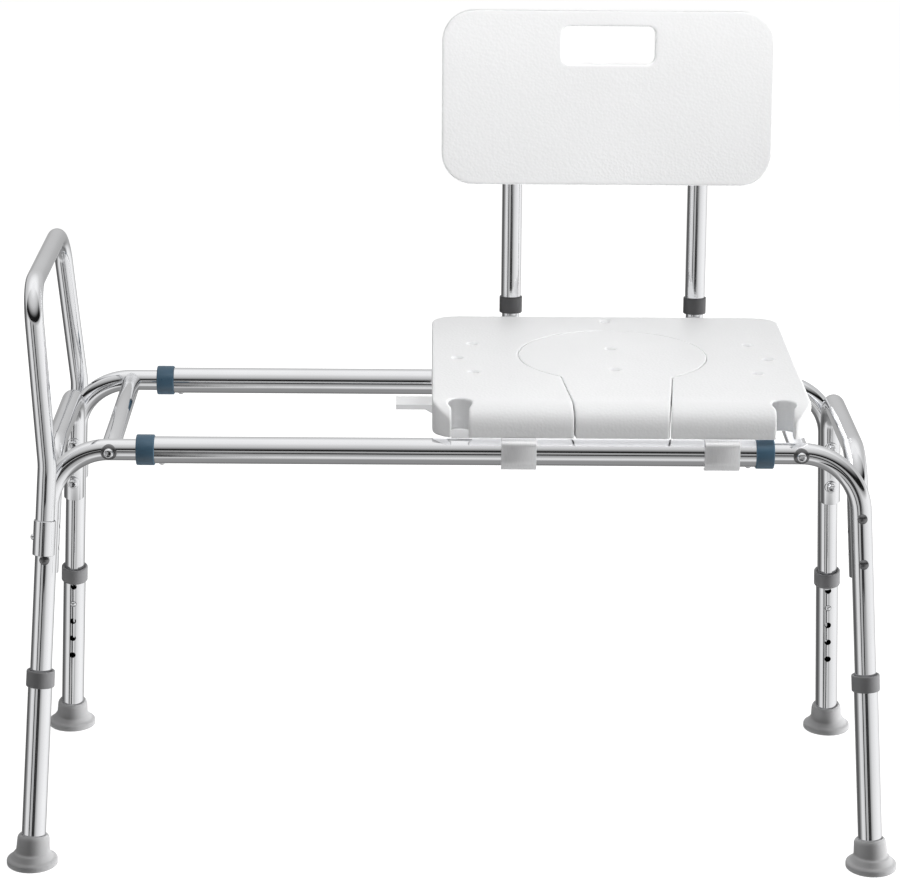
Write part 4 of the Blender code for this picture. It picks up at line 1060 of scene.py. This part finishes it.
def build_world():
    world = bpy.data.worlds.new("studio")
    bpy.context.scene.world = world
    world.use_nodes = True
    tree = world.node_tree
    tree.nodes.clear()

    def node(kind, **values):
        made = tree.nodes.new(kind)
        for key, value in values.items():
            setattr(made, key, value)
        return made

    def math_node(operation, first, second=None):
        made = node("ShaderNodeMath", operation=operation)
        for socket, value in zip(made.inputs, (first, second)):
            if value is None:
                continue
            if isinstance(value, (int, float)):
                socket.default_value = value
            else:
                tree.links.new(value, socket)
        return made.outputs[0]

    def mix(factor, first, second):
        made = node("ShaderNodeMix", data_type="RGBA")
        for key, value in (("Factor", factor), ("A", first), ("B", second)):
            socket = next(s for s in made.inputs if s.name == key and s.enabled)
            if isinstance(value, tuple):
                socket.default_value = value
            else:
                tree.links.new(value, socket)
        return next(s for s in made.outputs if s.enabled)

    def mask_node(value, stops):
        made = ramp_node(tree, stops)
        tree.links.new(value, made.inputs[0])
        return made.outputs[0]

    coords = node("ShaderNodeTexCoord")
    split = node("ShaderNodeSeparateXYZ")
    tree.links.new(coords.outputs["Generated"], split.inputs[0])
    x, y, z = split.outputs
    height = math_node("MULTIPLY_ADD", z, 0.5)
    height.node.inputs[2].default_value = 0.5
    depth = math_node("MULTIPLY_ADD", y, 0.5)
    depth.node.inputs[2].default_value = 0.5
    bearing = math_node("ARCTAN2", x, math_node("MULTIPLY", y, -1.0))
    turn = math_node("MULTIPLY_ADD", bearing, 0.5 / math.pi)
    turn.node.inputs[2].default_value = 0.5

    front = mask_node(height, [((h + 1) / 2, grey) for h, grey in FRONT_STOPS])
    behind = mask_node(height, [((h + 1) / 2, grey) for h, grey in BEHIND_STOPS])
    around = mask_node(turn, [((a + 180) / 360, grey) for a, grey in BEARING_STOPS])
    is_behind = mask_node(depth, [(0.0, 0.0), (0.47, 0.0), (0.53, 1.0), (1.0, 1.0)])
    is_low = mask_node(height, [(0.0, 0.0), (0.10, 0.0), (0.18, 1.0), (0.54, 1.0), (0.58, 0.0), (1.0, 0.0)])
    is_beside = mask_node(turn, [(0.0, 0.0), (0.03, 0.0), (0.10, 1.0), (0.4865, 1.0), (0.489, 0.0), (0.519, 0.0),
                                 (0.54, 1.0), (0.90, 1.0), (0.97, 0.0), (1.0, 0.0)])
    by_height = mix(is_behind, front, behind)
    glossy = mix(math_node("MULTIPLY", is_low, is_beside), by_height, around)

    soft = mask_node(height, [(0.0, 2.6), (0.08, 2.6), (0.14, 0.08), (0.5, 0.05), (1.0, 0.08)])
    path = node("ShaderNodeLightPath")
    shown = mix(path.outputs["Is Diffuse Ray"], glossy, soft)
    shown = mix(path.outputs["Is Camera Ray"], shown, (1.0, 1.0, 1.0, 1.0))
    background = node("ShaderNodeBackground")
    tree.links.new(shown, background.inputs["Color"])
    output = node("ShaderNodeOutputWorld")
    tree.links.new(background.outputs[0], output.inputs["Surface"])


def area_light(name, location, target, size, power):
    data = bpy.data.lights.new(name, 'AREA')
    data.shape = 'RECTANGLE'
    data.size, data.size_y = size
    data.energy = power
    light = bpy.data.objects.new(name, data)
    light.location = location
    light.rotation_mode = 'QUATERNION'
    light.rotation_quaternion = (target - location).to_track_quat('-Z', 'Y')
    bpy.context.scene.collection.objects.link(light)
    light.visible_glossy = False
    light.visible_camera = False
    return light


def build_lights():
    area_light("key_softbox", from_middle(SEAT_X, -0.48, 1.72), from_middle(SEAT_X, 0.10, 0.62), (1.2, 0.7), 14.3)
    area_light("right_softbox", from_middle(6.0, 0.2, 0.7), from_middle(0.0, 0.0, 0.4), (3.0, 1.2), 640.0)
    area_light("left_softbox", from_middle(-4.0, 0.0, 0.9), from_middle(0.0, 0.0, 0.5), (3.0, 1.4), 40.0)
    area_light("back_softbox", from_middle(0.0, 2.6, 1.0), from_middle(0.0, 0.1, 0.5), (2.4, 1.2), 27.0)


def build_floor():
    shape = bmesh.new()
    bmesh.ops.create_grid(shape, x_segments=2, y_segments=2, size=40.0)
    material = bpy.data.materials.new("pale_floor")
    material.use_nodes = True
    main = material.node_tree.nodes["Principled BSDF"]
    main.inputs["Base Color"].default_value = (0.22, 0.22, 0.22, 1.0)
    main.inputs["Roughness"].default_value = 1.0
    main.inputs["Specular IOR Level"].default_value = 0.0
    main.inputs["Emission Color"].default_value = (1.0, 1.0, 1.0, 1.0)
    main.inputs["Emission Strength"].default_value = 0.98
    floor = make_object("floor", shape, material)
    floor.location.z = -0.0005
    floor.visible_glossy = False
    floor.visible_diffuse = False


CAMERA_PLACE = from_middle(-0.0397, -3.6, 1.5834)
CAMERA_LENS = 123.3
CAMERA_DOWN, CAMERA_TURN, CAMERA_ROLL = 0.30064, -0.00963, 0.00897


def build_camera():
    """In front of the bench, 3.6 m from its middle and a little above it."""
    data = bpy.data.cameras.new("camera")
    data.sensor_width = 36.0
    data.lens = CAMERA_LENS
    camera = bpy.data.objects.new("camera", data)
    rotation = (Matrix.Rotation(CAMERA_TURN, 4, 'Z') @ Matrix.Rotation(math.pi / 2 - CAMERA_DOWN, 4, 'X')
                @ Matrix.Rotation(CAMERA_ROLL, 4, 'Z'))
    camera.matrix_world = Matrix.Translation(CAMERA_PLACE) @ rotation
    bpy.context.scene.collection.objects.link(camera)
    bpy.context.scene.camera = camera


def build_bench():
    build_rails()
    for name, corner in CORNERS.items():
        build_rail_collar(name, corner)
        build_leg_frame(name, corner)
        build_crossbar_bolt(name, corner)
        build_lower_leg(name, corner)
    for side, side_x in SIDES.items():
        build_crossbar(side, side_x)
        build_bow(side, side_x)
        build_bracket(side)
    build_handle()
    build_seat()
    for side, x in zip(SIDES, BACK_X):
        build_back(side, x)
    build_backrest()
    build_lock()


build_camera()
build_bench()
build_floor()
build_world()
build_lights()
bpy.context.scene.view_settings.view_transform = 'Standard'
